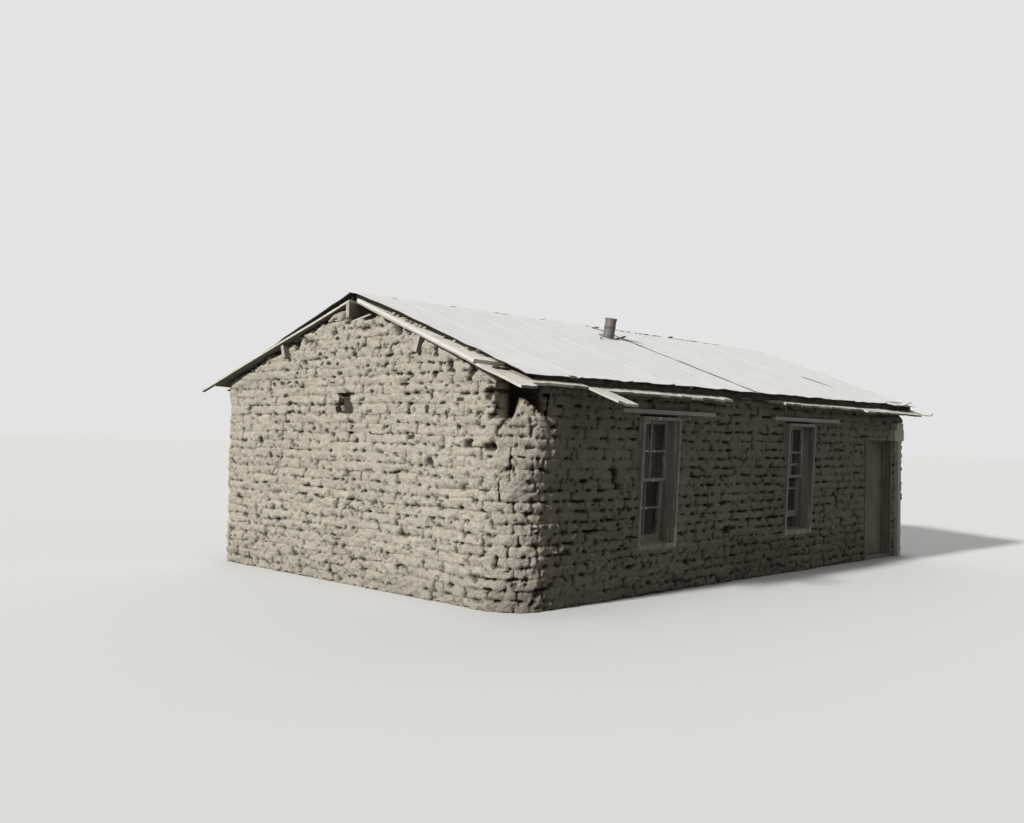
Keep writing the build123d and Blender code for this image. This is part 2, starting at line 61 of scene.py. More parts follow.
PIPE = {"x": 0.59, "y": -0.42, "radius": 0.075, "lean": math.radians(10), "above": 0.25,
        "layers": 0.115, "half_gap": 0.10}
DOOR_INSIDE = {"x": 2.101, "y": 3.07}

# How far the roof's front edges pass the front gable's face: at the ridge, and at the eave
BOARDS_PAST_GABLE = {RIGHT: (-0.100, 0.230), LEFT: (0.015, 0.220)}
ROOFING_PAST_GABLE = {RIGHT: (-0.030, 0.065), LEFT: (0.0, 0.160)}

# Board ends at the eaves: how far along from the gable's face, and how far past the wall up to there
BOARD_ENDS = {
    RIGHT: [(-0.016, 0.325), (0.800, 0.230), (1.100, 0.630), (3.385, 0.245), (4.389, 0.060),
            (4.663, 0.150), (6.780, 0.215), (8.540, 0.290)],
    LEFT: [(-0.160, 0.310), (0.100, 0.100), (0.300, 0.230), (0.500, 0.410), (8.540, 0.531)],
}

# The roof's worn edges lie a little inside the solids'
EARTH_WORN, ROOFING_WORN = 0.030, 0.035

# Widths of roofing: the stretch that shows of each, the seam, and how far each seam is askew
ROOFING_EXPOSED, ROOFING_SEAM = 0.844, 0.005
SEAM_SKEW = {RIGHT: (0.02, -0.03, -0.10, 0.03, -0.053, -0.04, 0.02, -0.09, 0.05),
             LEFT: (0.03, -0.02, 0.04) * 4}
OPEN_SEAM = 5

# Places read from the frame
gable_low, gable_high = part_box("front_gable_wall")
back_low, back_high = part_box("back_gable_wall")
over_low, over_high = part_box("right_wall_over_door")
SIDE = gable_high.x
FRONT, FRONT_IN = gable_low.y, gable_high.y
BACK, BACK_IN = back_high.y, back_low.y
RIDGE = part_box("ridge_beam")[1].z
TOP_COURSE = int((RIDGE - STEP_CLEARANCE) / COURSE)
LEFT_EAVE = -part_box("left_roof_boards")[0].x
EARTH_REACH = {RIGHT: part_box("right_earth_layer")[1].x - EARTH_WORN, LEFT: LEFT_EARTH_REACH}
ROOFING_REACH = {RIGHT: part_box("right_roofing")[1].x - ROOFING_WORN, LEFT: LEFT_EAVE}
BOARDS_REACH = {RIGHT: SIDE + BOARD_ENDS[RIGHT][0][1], LEFT: LEFT_EAVE}


# Curves and noise

def ramp(values, low, high):
    """Smooth step from 0 at low to 1 at high."""
    part = np.clip((np.asarray(values) - low) / (high - low), 0, 1)
    return part * part * (3 - 2 * part)


def plateau(values, low, top, end, out):
    """Smooth step up from low to top, and down again from end to out."""
    return ramp(values, low, top) * (1 - ramp(values, end, out))


def bell(values):
    return np.exp(-(values**2))


def lattice(x, y, z, seed):
    """Repeatable value from 0 to 1 for whole-number places."""
    mixed = (x * 374761393 + y * 668265263 + z * 1442695041 + seed * 974634777) & 0xFFFFFFFF
    mixed = ((mixed ^ (mixed >> 13)) * 1274126177) & 0xFFFFFFFF
    return ((mixed ^ (mixed >> 16)) & 0xFFFFFF) / 0xFFFFFF


def noise(rows, size, seed):
    """Smooth noise from -1 to 1 at up to three rows of values, with features of about the given size."""
    rows = np.broadcast_arrays(*[np.asarray(row, float) for row in rows])
    rows = [row / length for row, length in zip(rows, np.broadcast_to(size, len(rows)))]
    scaled = np.stack([*rows, *[np.zeros(rows[0].shape)] * (3 - len(rows))], -1)
    cell = np.floor(scaled).astype(np.int64)
    part = scaled - cell
    part = part * part * (3 - 2 * part)
    total = np.zeros(len(scaled))
    for corner in itertools.product((0, 1), repeat=3):
        weight = np.prod(np.where(np.array(corner) == 1, part, 1 - part), axis=1)
        total += weight * lattice(*(cell + corner).T, seed)
    return 2 * total - 1


def rough(rows, size, seed, octaves=3):
    """Noise with finer and finer layers, from about -1 to 1."""
    total = sum(noise(rows, np.array(size) / 2**n, seed + 31 * n) / 2**n for n in range(octaves))
    return total / (2 - 2 ** (1 - octaves)) * 1.4


# The roof's planes and edges

def boards_under(side, distance):
    """Height of the roof boards' underside at a distance from the ridge."""
    return RIDGE - SLOPE[side] * distance


def upright(side, thickness):
    """Height of a layer on the slope, measured straight up."""
    return thickness * math.hypot(1, SLOPE[side])


def front_edge(past, reach, distance):
    """Y of a layer's skewed front edge at a distance from the ridge."""
    return FRONT - (past[0] + (past[1] - past[0]) * distance / reach)


def roofing_front(side, distance):
    """Y of the roofing's front edge, which is worn back along the right rake."""
    if side == LEFT:
        return front_edge(ROOFING_PAST_GABLE[LEFT], LEFT_EAVE, distance)
    return FRONT + np.interp(distance, [0, 0.7, 2.2, 2.75], [0.070, 0.095, 0.095, -0.012])


def left_roofing_end(y):
    """How far from the ridge the left roofing reaches: it is broken off at the front corner."""
    return SIDE + np.interp(y - FRONT, [0.0, 0.12, 0.50, 0.62], [0.090, 0.120, 0.490, 0.531])


def sprung(side, distance, y):
    """How far the boards' ends at the front right eave have sprung up."""
    if side == LEFT:
        return 0.0
    along = (1 - ramp(y, -3.50, -3.35)) * (0.45 + 0.55 * ramp(y, -4.36, -4.20))
    return 0.026 * ramp(distance, 2.32, 2.62) * along


def earth_height(side, distance, y):
    """Height of the earth's top above the boards' underside.

    It tapers out down the left slope, and is thinner along the front right rake.
    """
    boards = upright(side, BOARD_THICKNESS)
    full = upright(RIGHT, BOARD_THICKNESS) + upright(RIGHT, EARTH_THICKNESS)
    if side == RIGHT:
        thinner = np.interp(distance, [0.9, 1.9, 2.25, 2.65], [-0.004, 0.012, 0.020, 0.0])
        return full - thinner * (1 - ramp(y, FRONT + 0.12, FRONT + 0.80))
    return boards + (full - boards) * np.clip(1 - np.asarray(distance) / LEFT_EARTH_REACH, 0, 1)


def on_roof(side, distance, y, height):
    """Points at a distance from the ridge and a height above the boards' underside."""
    return np.stack([side * distance, y, boards_under(side, distance) + height], -1)


# Meshes

def new_object(name, data):
    made = bpy.data.objects.new(name, data)
    bpy.context.scene.collection.objects.link(made)
    return made


class Build:
    """Collects blocks and grids into one mesh, with a tone, a darkness and a damp value at each point;
    the darkness holds dark joints and colours together with painted shade, and the damp value holds
    painted shade too.
    """

    def __init__(self):
        self.points, self.faces, self.values, self.count = [], [], [], 0

    def add(self, points, faces, tone=0.5, dark_and_shade=0.0, damp_and_shade=0.0):
        points = np.asarray(points, float)
        values = np.broadcast_arrays(tone, dark_and_shade, damp_and_shade, 1.0, points[:, 0])[:4]
        self.points.append(points)
        self.faces.append(np.asarray(faces) + self.count)
        self.values.append(np.stack(values, -1))
        self.count += len(points)

    def bent(self, us, vs, ws, place, shade=()):
        """Add a closed block whose grid points are put in place by a function, its faces outward."""
        grid, faces = block(us, vs, ws)
        points = place(*grid.T)
        a, b, c = (points[faces[:, n]] for n in range(3))
        if np.sum(np.cross(b - a, c - a) * (a - points.mean(0))) < 0:
            faces = faces[:, ::-1]
        self.add(points, faces, *(shade(*grid.T) if callable(shade) else shade))

    def piece(self, name, material, slot, replaced=(), sharp=40.0, bevel=0.0):
        """Make the object, finish it, and put it in its body's and nodes' place."""
        mesh = bpy.data.meshes.new(name)
        faces = [f for group in self.faces for f in group.tolist()]
        mesh.from_pydata(np.concatenate(self.points).tolist(), [], faces)
        shade = mesh.attributes.new("shade", "FLOAT_COLOR", "POINT")
        shade.data.foreach_set("color", np.concatenate(self.values).astype(np.float32).ravel())
        mesh.polygons.foreach_set("use_smooth", [True] * len(mesh.polygons))
        mesh.set_sharp_from_angle(angle=math.radians(sharp))
        mesh.materials.append(MATERIALS[material])
        piece = new_object(name, mesh)
        if bevel:
            soften(piece, bevel)
        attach(piece, "root")
        if replaced:
            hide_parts(*replaced)


def soften(piece, width):
    """Round a piece's sharp edges."""
    bevel = piece.modifiers.new("soft_edges", "BEVEL")
    bevel.width = width
    bevel.segments = 2
    bevel.limit_method = "ANGLE"
    bevel.angle_limit = math.radians(40)


def numbered(*counts):
    """Point numbers of a grid."""
    return np.arange(math.prod(counts)).reshape(counts)


def crossings(*places):
    """Places of all points of a grid, one row for each axis."""
    return [grid.ravel() for grid in np.meshgrid(*places, indexing="ij")]


def quads(index):
    """Faces of a grid of point numbers, whose normal is first axis cross second axis."""
    corners = [index[:-1, :-1], index[1:, :-1], index[1:, 1:], index[:-1, 1:]]
    return np.stack(corners, -1).reshape(-1, 4)


def block(xs, ys, zs):
    """Closed surface of a box cut by three sets of lines: points and outward faces."""
    index = numbered(len(xs), len(ys), len(zs))
    sides = (index[:, :, -1], index[:, :, 0].T, index[-1], index[0].T, index[:, -1].T, index[:, 0])
    used, faces = np.unique(np.concatenate([quads(side) for side in sides]), return_inverse=True)
    return np.stack(crossings(xs, ys, zs), -1)[used], faces.reshape(-1, 4)


def lines(keys, step):
    """Places from the first key to the last, about a step apart, with a line on every key."""
    keys = sorted(set(round(float(k), 5) for k in keys))
    places = [keys[0]]
    for low, high in zip(keys, keys[1:]):
        count = max(1, round((high - low) / step))
        places += [low + (high - low) * n / count for n in range(1, count + 1)]
    return np.array(places)


# The walls' outline on the ground, followed anticlockwise from the left end of the front gable:
# straight runs by start, direction and length, and arcs by centre, first angle and radius
QUARTER = math.pi / 2
LEFT_ROUND, RIGHT_ROUND, BACK_ROUND = CORNERS.values()
PLAN = [
    ((-SIDE, FRONT_IN), (0, -1), FRONT_IN - FRONT - LEFT_ROUND),
    ((-SIDE + LEFT_ROUND, FRONT + LEFT_ROUND), 2 * QUARTER, LEFT_ROUND),
    ((-SIDE + LEFT_ROUND, FRONT), (1, 0), 2 * SIDE - LEFT_ROUND - RIGHT_ROUND),
    ((SIDE - RIGHT_ROUND, FRONT + RIGHT_ROUND), 3 * QUARTER, RIGHT_ROUND),
    ((SIDE, FRONT + RIGHT_ROUND), (0, 1), BACK - FRONT - RIGHT_ROUND - BACK_ROUND),
    ((SIDE - BACK_ROUND, BACK - BACK_ROUND), 0, BACK_ROUND),
    ((SIDE - BACK_ROUND, BACK), (-1, 0), 2 * SIDE - 2 * BACK_ROUND),
    ((-SIDE + BACK_ROUND, BACK - BACK_ROUND), QUARTER, BACK_ROUND),
    ((-SIDE, BACK - BACK_ROUND), (0, -1), BACK - BACK_ROUND - FRONT_IN),
]
lengths = [size if isinstance(way, tuple) else size * QUARTER for _, way, size in PLAN]
starts = np.concatenate([[0], np.cumsum(lengths)])
CORNER, ALL_ROUND = starts[3], starts[-1]


def around(distances):
    """Points on the walls' plan and outward normals at distances along it."""
    points, normals = np.zeros((2, len(distances), 2))
    for (place, way, size), start in zip(PLAN, starts):
        here = distances >= start - 1e-9
        along = distances[here] - start
        if isinstance(way, tuple):
            points[here] = np.array(place) + along[:, None] * np.array(way)
            normals[here] = (way[1], -way[0])
        else:
            angle = way + along / size
            normals[here] = np.stack([np.cos(angle), np.sin(angle)], -1)
            points[here] = np.array(place) + size * normals[here]
    return points, normals


def measured(start, way):
    """Function for the distance along the plan of a place on one of its straight runs."""
    return lambda place: start + way * place


AT_FRONT = starts[2] - (-SIDE + LEFT_ROUND)
on_front = measured(AT_FRONT, 1)
on_right = measured(starts[4] - (FRONT + RIGHT_ROUND), 1)
on_back = measured(starts[6] + (SIDE - BACK_ROUND), -1)
on_left = measured(starts[8] + (BACK - BACK_ROUND), -1)

# Sods
SOD_STEP, FAR_STEP = 0.015, 0.02
HALF_JOINT = 0.007
TURN_IN = (0.012, 0.05, 0.12, 0.21)
ROWS = int(RIDGE / COURSE) + 1


def lay_courses():
    """Places of the upright joints in each course, all the way round the house."""
    draw = np.random.default_rng(7)
    courses = []
    for row in range(ROWS):
        short = (0.25, 0.38) if row % 2 else (0.32, 0.46)
        places, place = [], draw.uniform(0, 0.3)
        while place < ALL_ROUND:
            places.append(place)
            place += draw.uniform(*short)
        courses.append(np.array(places))
    return courses


COURSES = lay_courses()

# Hollows of the walls: distance along the plan, height, half sizes, and how far out
FEATURES = (
    (on_front(-0.02), 2.02, 0.055, 0.110, -0.07), (on_front(-0.87), 2.50, 0.030, 0.022, -0.05),
    (on_front(-1.74), 1.56, 0.026, 0.045, -0.05), (on_front(1.39), 1.41, 0.060, 0.030, -0.06),
    (on_front(1.97), 1.60, 0.070, 0.040, -0.06), (on_front(2.27), 1.57, 0.060, 0.040, -0.06),
    (CORNER + 0.10, 2.10, 0.050, 0.040, -0.05), (CORNER + 0.13, 1.88, 0.040, 0.030, -0.05),
    (on_right(-2.75), 1.30, 0.050, 0.090, -0.05), (on_right(-0.60), 0.62, 0.090, 0.050, -0.05),
)

# Notches, pits and cracks in the front gable, in millimetres: x, height, half width, half height
MARKS = (
    (850, 2800, 65, 95), (1041, 2740, 35, 50), (1457, 2530, 28, 55), (1675, 2370, 40, 70),
    (2006, 2310, 50, 60), (1980, 2240, 40, 25), (1792, 2470, 24, 28), (1867, 2410, 24, 32),
    (-1040, 2700, 65, 75), (108, 2560, 50, 30), (177, 2650, 28, 30), (543, 2600, 16, 45),
    (815, 2630, 60, 14), (735, 2520, 85, 14), (344, 2430, 26, 20), (654, 2410, 30, 20),
    (809, 2350, 55, 15), (1048, 2330, 34, 24), (1090, 2290, 20, 30), (1035, 2250, 34, 15),
    (1453, 2280, 18, 42), (1421, 2090, 15, 55), (1341, 1940, 24, 50), (248, 2040, 50, 15),
    (439, 2150, 36, 14), (-163, 2360, 45, 22), (-196, 2460, 36, 16), (-208, 2740, 45, 14),
    (-277, 2580, 45, 14), (1656, 1880, 22, 42), (2076, 1900, 18, 36), (1188, 1800, 32, 18),
    (913, 1790, 26, 15), (96, 1740, 30, 20), (714, 1750, 28, 15), (1829, 1780, 22, 25),
    (1114, 1650, 65, 24), (2225, 2040, 36, 28), (2269, 2190, 42, 14), (2299, 2110, 36, 14),
    (-117, 2850, 36, 16), (-45, 2900, 60, 16), (1850, 2040, 48, 18), (1599, 2010, 36, 12),
    (1333, 2150, 26, 15), (1639, 2170, 30, 14), (1355, 2430, 26, 15), (1130, 2530, 28, 13),
    (-533, 2570, 38, 20), (-510, 2460, 36, 16), (-368, 2450, 60, 20), (-1036, 2380, 32, 17),
    (-832, 2370, 30, 17), (-613, 2360, 30, 16), (-1337, 2260, 50, 20), (-1196, 2260, 56, 17),
    (-1027, 2250, 56, 20), (-1515, 2260, 34, 15), (-1253, 2100, 46, 24), (-1153, 2020, 66, 14),
    (-1109, 1900, 86, 15), (-1458, 1900, 34, 17), (-939, 1910, 40, 15), (-1201, 1800, 42, 18),
    (-2190, 1710, 40, 26), (-657, 1730, 38, 20), (-388, 1710, 30, 24), (-1784, 1580, 36, 40),
    (188, 1600, 34, 36), (-468, 1920, 24, 16), (-267, 1670, 24, 16), (-282, 2250, 60, 13),
)


def worn_corner(s, z):
    """The front right corner's upper sods are gone: how far in it lies, how much paler its sunlit patch
    is painted, and how much shade is painted into its deep hollow.
    """
    along = s - CORNER + 0.014 * noise((z,), 0.10, 31) + 0.010 * noise((s, z), 0.05, 32)
    edge = np.interp(along, [0.16, 0.30, 0.42, 0.48, 0.55, 0.64, 0.80],
                     [1.80, 1.83, 1.93, 2.03, 1.98, 1.90, 1.72])
    edge = edge + 0.035 * rough((s,), 0.07, 33, 2)
    high = ramp(z - edge, 0, 0.035)
    deep = np.interp(along, [0.165, 0.20, 0.26, 0.36, 0.50, 0.66, 0.80],
                     [0, -0.24, -0.34, -0.37, -0.33, -0.12, 0])
    shallow = np.interp(along, [0.10, 0.28, 0.45, 0.78, 1.1], [0, -0.045, -0.055, 0.02, 0])
    low = ramp(z, 1.42, 1.56) * (1 - high)
    # painted light: the patch below the hollow, which the sun reaches, is painted paler with lighter
    # joints
    lit_patch = plateau(along, 0.22, 0.30, 0.76, 0.86) * ramp(z, 1.46, 1.56) * (1 - high)
    return deep * high + shallow * low, lit_patch, high * plateau(along, 0.17, 0.24, 0.66, 0.78)


def openness(s):
    """How open the joints are: tight on the front gable, open on the long right wall."""
    return np.interp(s, [starts[1], starts[2], CORNER, CORNER + 0.6, starts[5], starts[6]],
                     [0.6, 0.40, 0.40, 0.75, 0.75, 0.6])


def course_parts(s, z):
    """Each place's row, sod, distances to the upright and bed joints, and where it lies in its sod."""
    row = np.clip((z / COURSE + 1e-6).astype(int), 0, ROWS - 1)
    to_joint, side, sod = np.zeros(len(s)), np.zeros(len(s)), np.zeros(len(s), np.int64)
    for n in np.unique(row):
        joints = COURSES[n]
        here = row == n
        at = np.clip(np.searchsorted(joints, s[here] + 1e-6), 1, len(joints) - 1)
        left, right = joints[at - 1], joints[at]
        to_joint[here] = np.minimum(np.abs(s[here] - left), np.abs(right - s[here]))
        side[here] = 2 * (s[here] - left) / (right - left) - 1
        sod[here] = at
    part = z / COURSE - row
    return row, sod, to_joint, COURSE * np.minimum(part, 1 - part), side, part


def sod_relief(s, z):
    """How far the sods stand out at (s, z), each sod's tone, and how dark it is painted: dark joints,
    and painted shade in the pits.
    """
    row, sod, to_joint, to_bed, side, part = course_parts(s, z)
    own = [lattice(row, sod, np.full_like(sod, n), 5) * 2 - 1 for n in range(5)]
    here = (s, z)
    opened = openness(s)
    low = 1 - ramp(z, 0.5, 1.8)
    # each sod sits a little in or out, turned and tipped, with worn edges
    out = 0.009 * own[0] + 0.006 * own[1] * side + 0.006 * own[2] * (2 * part - 1)
    out -= 0.005 * (1 - ramp(to_joint, 0, 0.022)) + 0.005 * (1 - ramp(to_bed, 0, 0.018))
    # dashes of open bed joint, each bed with its own pattern, and upright joints open in parts
    along_bed = (s, row + (part > 0.5))
    dash = noise(along_bed, (0.055, 1), 11) + 0.6 * noise(along_bed, (0.024, 1), 12)
    dash += 0.5 * noise(here, (0.6, 0.25), 18)
    open_bed = ramp(dash, 0.95 - 1.1 * opened, 1.35 - 0.9 * opened)
    open_joint = ramp(own[4] + 0.8 * noise(here, (0.3, 0.05), 13),
                      0.8 - 1.3 * opened, 1.5 - 1.2 * opened)
    bed = bell(to_bed / (0.008 + 0.006 * open_bed))
    joint = bell(to_joint / 0.010)
    # pits where crumbs have fallen out
    near = bell(np.minimum(to_bed, to_joint) / 0.03)
    crumbled = ramp(z, 2.50, 2.85)
    pit = noise(here, (0.060, 0.040), 14) + 0.5 * noise(here, (0.026, 0.022), 15)
    pit = ramp(pit + 0.25 * near + 0.12 * low + 0.30 * crumbled, 0.72, 1.05)
    out -= bed * (0.002 + 0.040 * open_bed) + joint * (0.002 + 0.030 * open_joint) + 0.032 * pit
    out += 0.0085 * rough(here, (0.10, 0.055), 16) * (1 + 0.5 * low + crumbled)
    out += 0.0065 * rough(here, (0.045, 0.034), 19, 2) * (1 + 0.4 * low)
    out += 0.014 * rough(here, (0.9, 0.6), 17, 2)
    # dark joints, and painted shade in the pits where crumbs have fallen out
    dark_and_shade = bed * (0.12 + 0.85 * open_bed) + joint * (0.08 + 0.7 * open_joint) + 0.65 * pit
    return out, 0.5 + 0.5 * own[3], np.clip(dark_and_shade, 0, 1)


def feature_relief(s, z):
    """Depth of the hollows and marks, and the painted shade that darkens each out a little past its rim.
    """
    out, dark = np.zeros(len(s)), np.zeros(len(s))
    moved = s + 0.014 * noise((s, z), 0.05, 34)
    raised = z + 0.012 * noise((z, s), 0.05, 40)
    places = [(*feature, min(0.9, -feature[4] / 0.06)) for feature in FEATURES]
    for x, height, half_s, half_z in np.array(MARKS) / 1000:
        depth = -0.010 - 26 * min(half_s, half_z) ** 2
        places.append((on_front(x), height, 0.85 * half_s, 0.85 * half_z, depth, 0.93))
    for place, height, half_s, half_z, amount, shade in places:
        across, up = np.abs(moved - place), np.abs(raised - height)
        out += amount * bell((across / half_s) ** 4 + (up / half_z) ** 4)
        # painted shade over each hollow and mark
        shadow = bell((across / (half_s + 0.007)) ** 4 + (up / (half_z + 0.004)) ** 4)
        dark = np.maximum(dark, shadow * shade)
    return out, dark


def under_left_rake(s, z):
    """How far the front gable's sods bulge out below the left slope's boards."""
    x = s - AT_FRONT
    below = RIDGE + SLOPE[LEFT] * x - z
    return 0.030 * (1 - ramp(below, 0.12, 0.24)) * plateau(x, -2.6, -2.45, -1.75, -1.45)


def damp_and_shade_at(s, z):
    """How damp and dark the sods are: damp at the ground and higher up towards the back right, and
    painted shade over the whole long right wall.
    """
    foot = 1 - ramp(z, 0.05, 0.5)
    right = plateau(s, on_right(-3.2), on_right(-0.5), starts[5], starts[6])
    higher = right * (1 - ramp(z + 0.08 * noise((s,), 0.5, 35), 0.40, 0.70))
    # painted shade: the long right wall is darkened all over
    shaded_long_wall = 0.7 * plateau(s, CORNER + 0.5, CORNER + 0.9, starts[5], starts[6])
    gable = plateau(s, 0, starts[2], CORNER - 0.3, CORNER + 0.4)
    return np.clip(np.maximum.reduce([foot * (1 - 0.7 * gable), higher, shaded_long_wall]), 0, 1)


def course_lines(top):
    """Heights of a wall's grid lines: close together beside each bed joint, and on HEIGHTS."""
    steps = np.array([0.0, 0.007, 0.020, 0.040, 0.060, 0.080, 0.098])
    heights = np.concatenate([row * COURSE + steps for row in range(int(top / COURSE) + 1)])
    keys = np.array([0.0, top, *[k for k in HEIGHTS if k < top]])
    heights = heights[(heights < top) & (np.abs(heights[:, None] - keys).min(1) > 0.005)]
    return np.unique(np.concatenate([heights, keys]))


def drawn_to_joints(grid, z):
    """Grid lines moved so that one lies on each joint of a course and one close on each side."""
    joints = COURSES[min(int(z / COURSE + 1e-6), ROWS - 1)]
    at = np.clip(np.searchsorted(grid, joints), 1, len(grid) - 1)
    at = at - (joints - grid[at - 1] < grid[at] - joints)
    inside = (at > 5) & (at < len(grid) - 6)
    at, joints = at[inside], joints[inside]
    ends = np.array([0, len(grid) - 1])
    numbers = np.concatenate([ends, at - 4, at - 1, at, at + 1, at + 4])
    places = np.concatenate([grid[ends], grid[at - 4], joints - HALF_JOINT, joints,
                             joints + HALF_JOINT, grid[at + 4]])
    order = np.argsort(numbers)
    return np.interp(np.arange(len(grid)), numbers[order], places[order])


def clear_of(s, z, boxes):
    """Distance from each point to the nearest of some boxes in (s, z)."""
    away = np.full(len(s), 9.0)
    for s0, s1, z0, z1 in boxes:
        ds = np.maximum(np.maximum(s0 - s, s - s1), 0)
        dz = np.maximum(np.maximum(z0 - z, z - z1), 0)
        away = np.minimum(away, np.hypot(ds, dz))
    return away


def sod_skin(build, s_lines, z_lines, keep, openings, proud, seams):
    """Outer face of a wall: a grid of sods with its edges turned into the wall.

    keep(s, z) says which cells are wall. openings are boxes in (s, z) whose edges stay straight,
    proud are planks that the sods leave bare, and seams are the places where the next wall goes on.
    """
    s_mid, z_mid = (s_lines[1:] + s_lines[:-1]) / 2, (z_lines[1:] + z_lines[:-1]) / 2
    kept = keep(*np.meshgrid(s_mid, z_mid, indexing="ij"))
    faces = quads(numbered(len(s_lines), len(z_lines)))[kept.ravel()]
    used, faces = np.unique(faces, return_inverse=True)
    faces = faces.reshape(-1, 4)
    drawn = np.stack([drawn_to_joints(s_lines, z) for z in z_lines], 1).ravel()[used]
    s, z = (grid[used] for grid in crossings(s_lines, z_lines))
    # free edges are the ones with a face on one side only
    edges = np.concatenate([faces[:, [n, (n + 1) % 4]] for n in range(4)])
    key = np.sort(edges, axis=1) @ np.array([len(s) + 1, 1])
    _, first, counts = np.unique(key, return_index=True, return_counts=True)
    border = edges[first[counts == 1]]
    rim = np.unique(border)
    at_seam = np.min([np.abs(s - seam) for seam in seams], 0) < 1e-6
    eroded = [n for n in rim if not at_seam[n] and z[n] >= 1e-6]
    tree = kdtree.KDTree(len(eroded))
    for slot, n in enumerate(eroded):
        tree.insert((s[n], z[n], 0), slot)
    tree.balance()
    to_rim = np.array([tree.find((a, b, 0))[2] for a, b in zip(s, z)])
    away = clear_of(s, z, openings)
    s = s + (drawn - s) * ramp(away, 0.0, 0.08) * ~at_seam
    # relief, which fades towards openings and planks
    out, tone, dark_and_shade = sod_relief(s, z)
    large, dark = feature_relief(s, z)
    scoop, lit_patch, shaded = worn_corner(s, z)
    out = (out + under_left_rake(s, z) + large + scoop) * (0.35 + 0.65 * ramp(away, 0.0, 0.10))
    out -= 0.014 * (1 - ramp(to_rim, 0, 0.05)) * ramp(away, 0.01, 0.05)
    out = np.where(clear_of(s, z, proud) < 0.03, np.minimum(out, -0.002), out)
    out = np.clip(out, -0.175 - 0.20 * shaded, 0.040)
    loose = ramp(away, 0.0, 0.12) * ramp(z, 0, 0.08) * ~at_seam
    here = (s, z)
    s_move = loose * (0.005 * noise(here, (0.10, 0.05), 21) + 0.004 * noise(here, (0.04, 0.03), 22))
    z_new = z + loose * (0.014 * noise(here, (0.50, 0.3), 23) + 0.009 * noise(here, (0.11, 0.09), 24))
    plan, normal = around(s + s_move)
    outer = np.column_stack([plan + normal * out[:, None], z_new])
    # painted shade in the hollows, the marks and the worn corner's deep hollow, and painted light on the
    # corner's sunlit patch
    dark_and_shade = np.clip(np.maximum.reduce([dark_and_shade * (1 - 0.5 * lit_patch), dark, 0.88 * shaded]), 0, 1)
    tone = np.where(lit_patch > 0, tone * (1 - lit_patch), tone)
    build.add(outer, faces, tone, dark_and_shade, damp_and_shade_at(s, z))
    # turn the border into the wall
    slot_of = np.full(len(s), -1)
    slot_of[rim] = np.arange(len(rim))
    rings = [outer[rim]]
    for depth in TURN_IN:
        wobble = 0.006 * noise((s[rim], z[rim], depth), 0.05, 25)
        ring = np.column_stack([plan[rim] - normal[rim] * depth, z_new[rim] + wobble * loose[rim]])
        behind = outer[rim] - np.column_stack([normal[rim] * 0.004, np.zeros(len(rim))])
        rings.append(np.where((out[rim] < -depth)[:, None], behind, ring))
    start = len(rim)
    a, b = slot_of[border[:, 0]], slot_of[border[:, 1]]
    sides = [np.stack([b + n * start, a + n * start, a + (n + 1) * start, b + (n + 1) * start], -1)
             for n in range(len(TURN_IN))]
    shade_in = [dark_and_shade[rim], *(np.clip(dark_and_shade[rim] + 0.2 + 2 * d, 0, 0.75) for d in TURN_IN)]
    build.add(np.concatenate(rings), np.concatenate(sides), np.tile(tone[rim], len(rings)),
              np.concatenate(shade_in))


def wall_core(build, node, depth=0.18):
    """The CAD wall's own surface with its outer faces drawn in behind the sods."""
    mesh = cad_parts[node].data
    points = np.array([v.co for v in mesh.vertices])
    half = np.array([SIDE, (BACK - FRONT) / 2])
    plan = points[:, :2] - np.array([0, (BACK + FRONT) / 2])
    corner = np.where(plan[:, 1] > 0, BACK_ROUND, np.where(plan[:, 0] > 0, RIGHT_ROUND, LEFT_ROUND))
    beyond = np.abs(plan) - (half - corner[:, None])
    rounded = np.maximum(beyond, 0)
    distance = np.hypot(*rounded.T) + np.minimum(beyond.max(1), 0) - corner
    straight = beyond[:, 0] > beyond[:, 1]
    at_corner = np.hypot(*rounded.T) > 1e-9
    worn = at_corner & (plan[:, 0] > 0) & (plan[:, 1] < 0)
    depth = np.where(worn, 2.15 * depth, depth)[:, None]
    normal = np.where(at_corner[:, None], rounded, np.stack([straight, ~straight], -1).astype(float))
    normal /= np.hypot(*normal.T)[:, None]
    moved = np.abs(distance) < 0.002
    points[moved, :2] -= (normal * np.sign(plan) * depth)[moved]
    build.add(points, [list(p.vertices) for p in mesh.polygons], 0.5, 0.25)


def hole_back(build):
    """Rough back of the place where sods have fallen out of the front gable, with painted shade: darker
    over all but its left part, and along its top and bottom edges.
    """
    half = HOLE["width"] / 2 + 0.06
    low, high = HOLE["low"] - 0.05, HOLE["high"] + 0.05
    s_lines = lines([on_front(HOLE["x"] - half), on_front(HOLE["x"] + half)], SOD_STEP)
    z_lines = lines([low, high], SOD_STEP)
    s, z = crossings(s_lines, z_lines)
    out = 0.02 * rough((s, z), (0.09, 0.06), 36) - HOLE["depth"] + 0.02
    plan, normal = around(s)
    x, up = s - AT_FRONT - HOLE["x"], z - (low + high) / 2
    # painted shade inside the hole
    dark = 0.40 + 0.55 * np.maximum(ramp(x + 0.3 * up, -0.16, -0.06), ramp(np.abs(up), 0.055, 0.085))
    outer = np.column_stack([plan + normal * out[:, None], z])
    build.add(outer, quads(numbered(len(s_lines), len(z_lines))), 0.3, dark)


def broken_top(x):
    """Height up to which broken sods fill the front gable's steps below the boards."""
    gap = np.where(x > 0, 0.022, np.interp(x, [-2.2, -1.3], [0.012, 0.030]))
    gap = gap + 0.020 * rough((x.ravel(),), 0.09, 39, 2).reshape(x.shape)
    fall = np.where(x > 0, SLOPE[RIGHT], SLOPE[LEFT])
    top = RIDGE - fall * np.abs(x) - np.maximum(gap, 0.012)
    # lower sods beside the ridge beam
    beside_beam = (x > 0) & (x < 0.46)
    return np.where(beside_beam, np.minimum(top, 2.925 + 0.02 * np.sin(x * 40)), top)


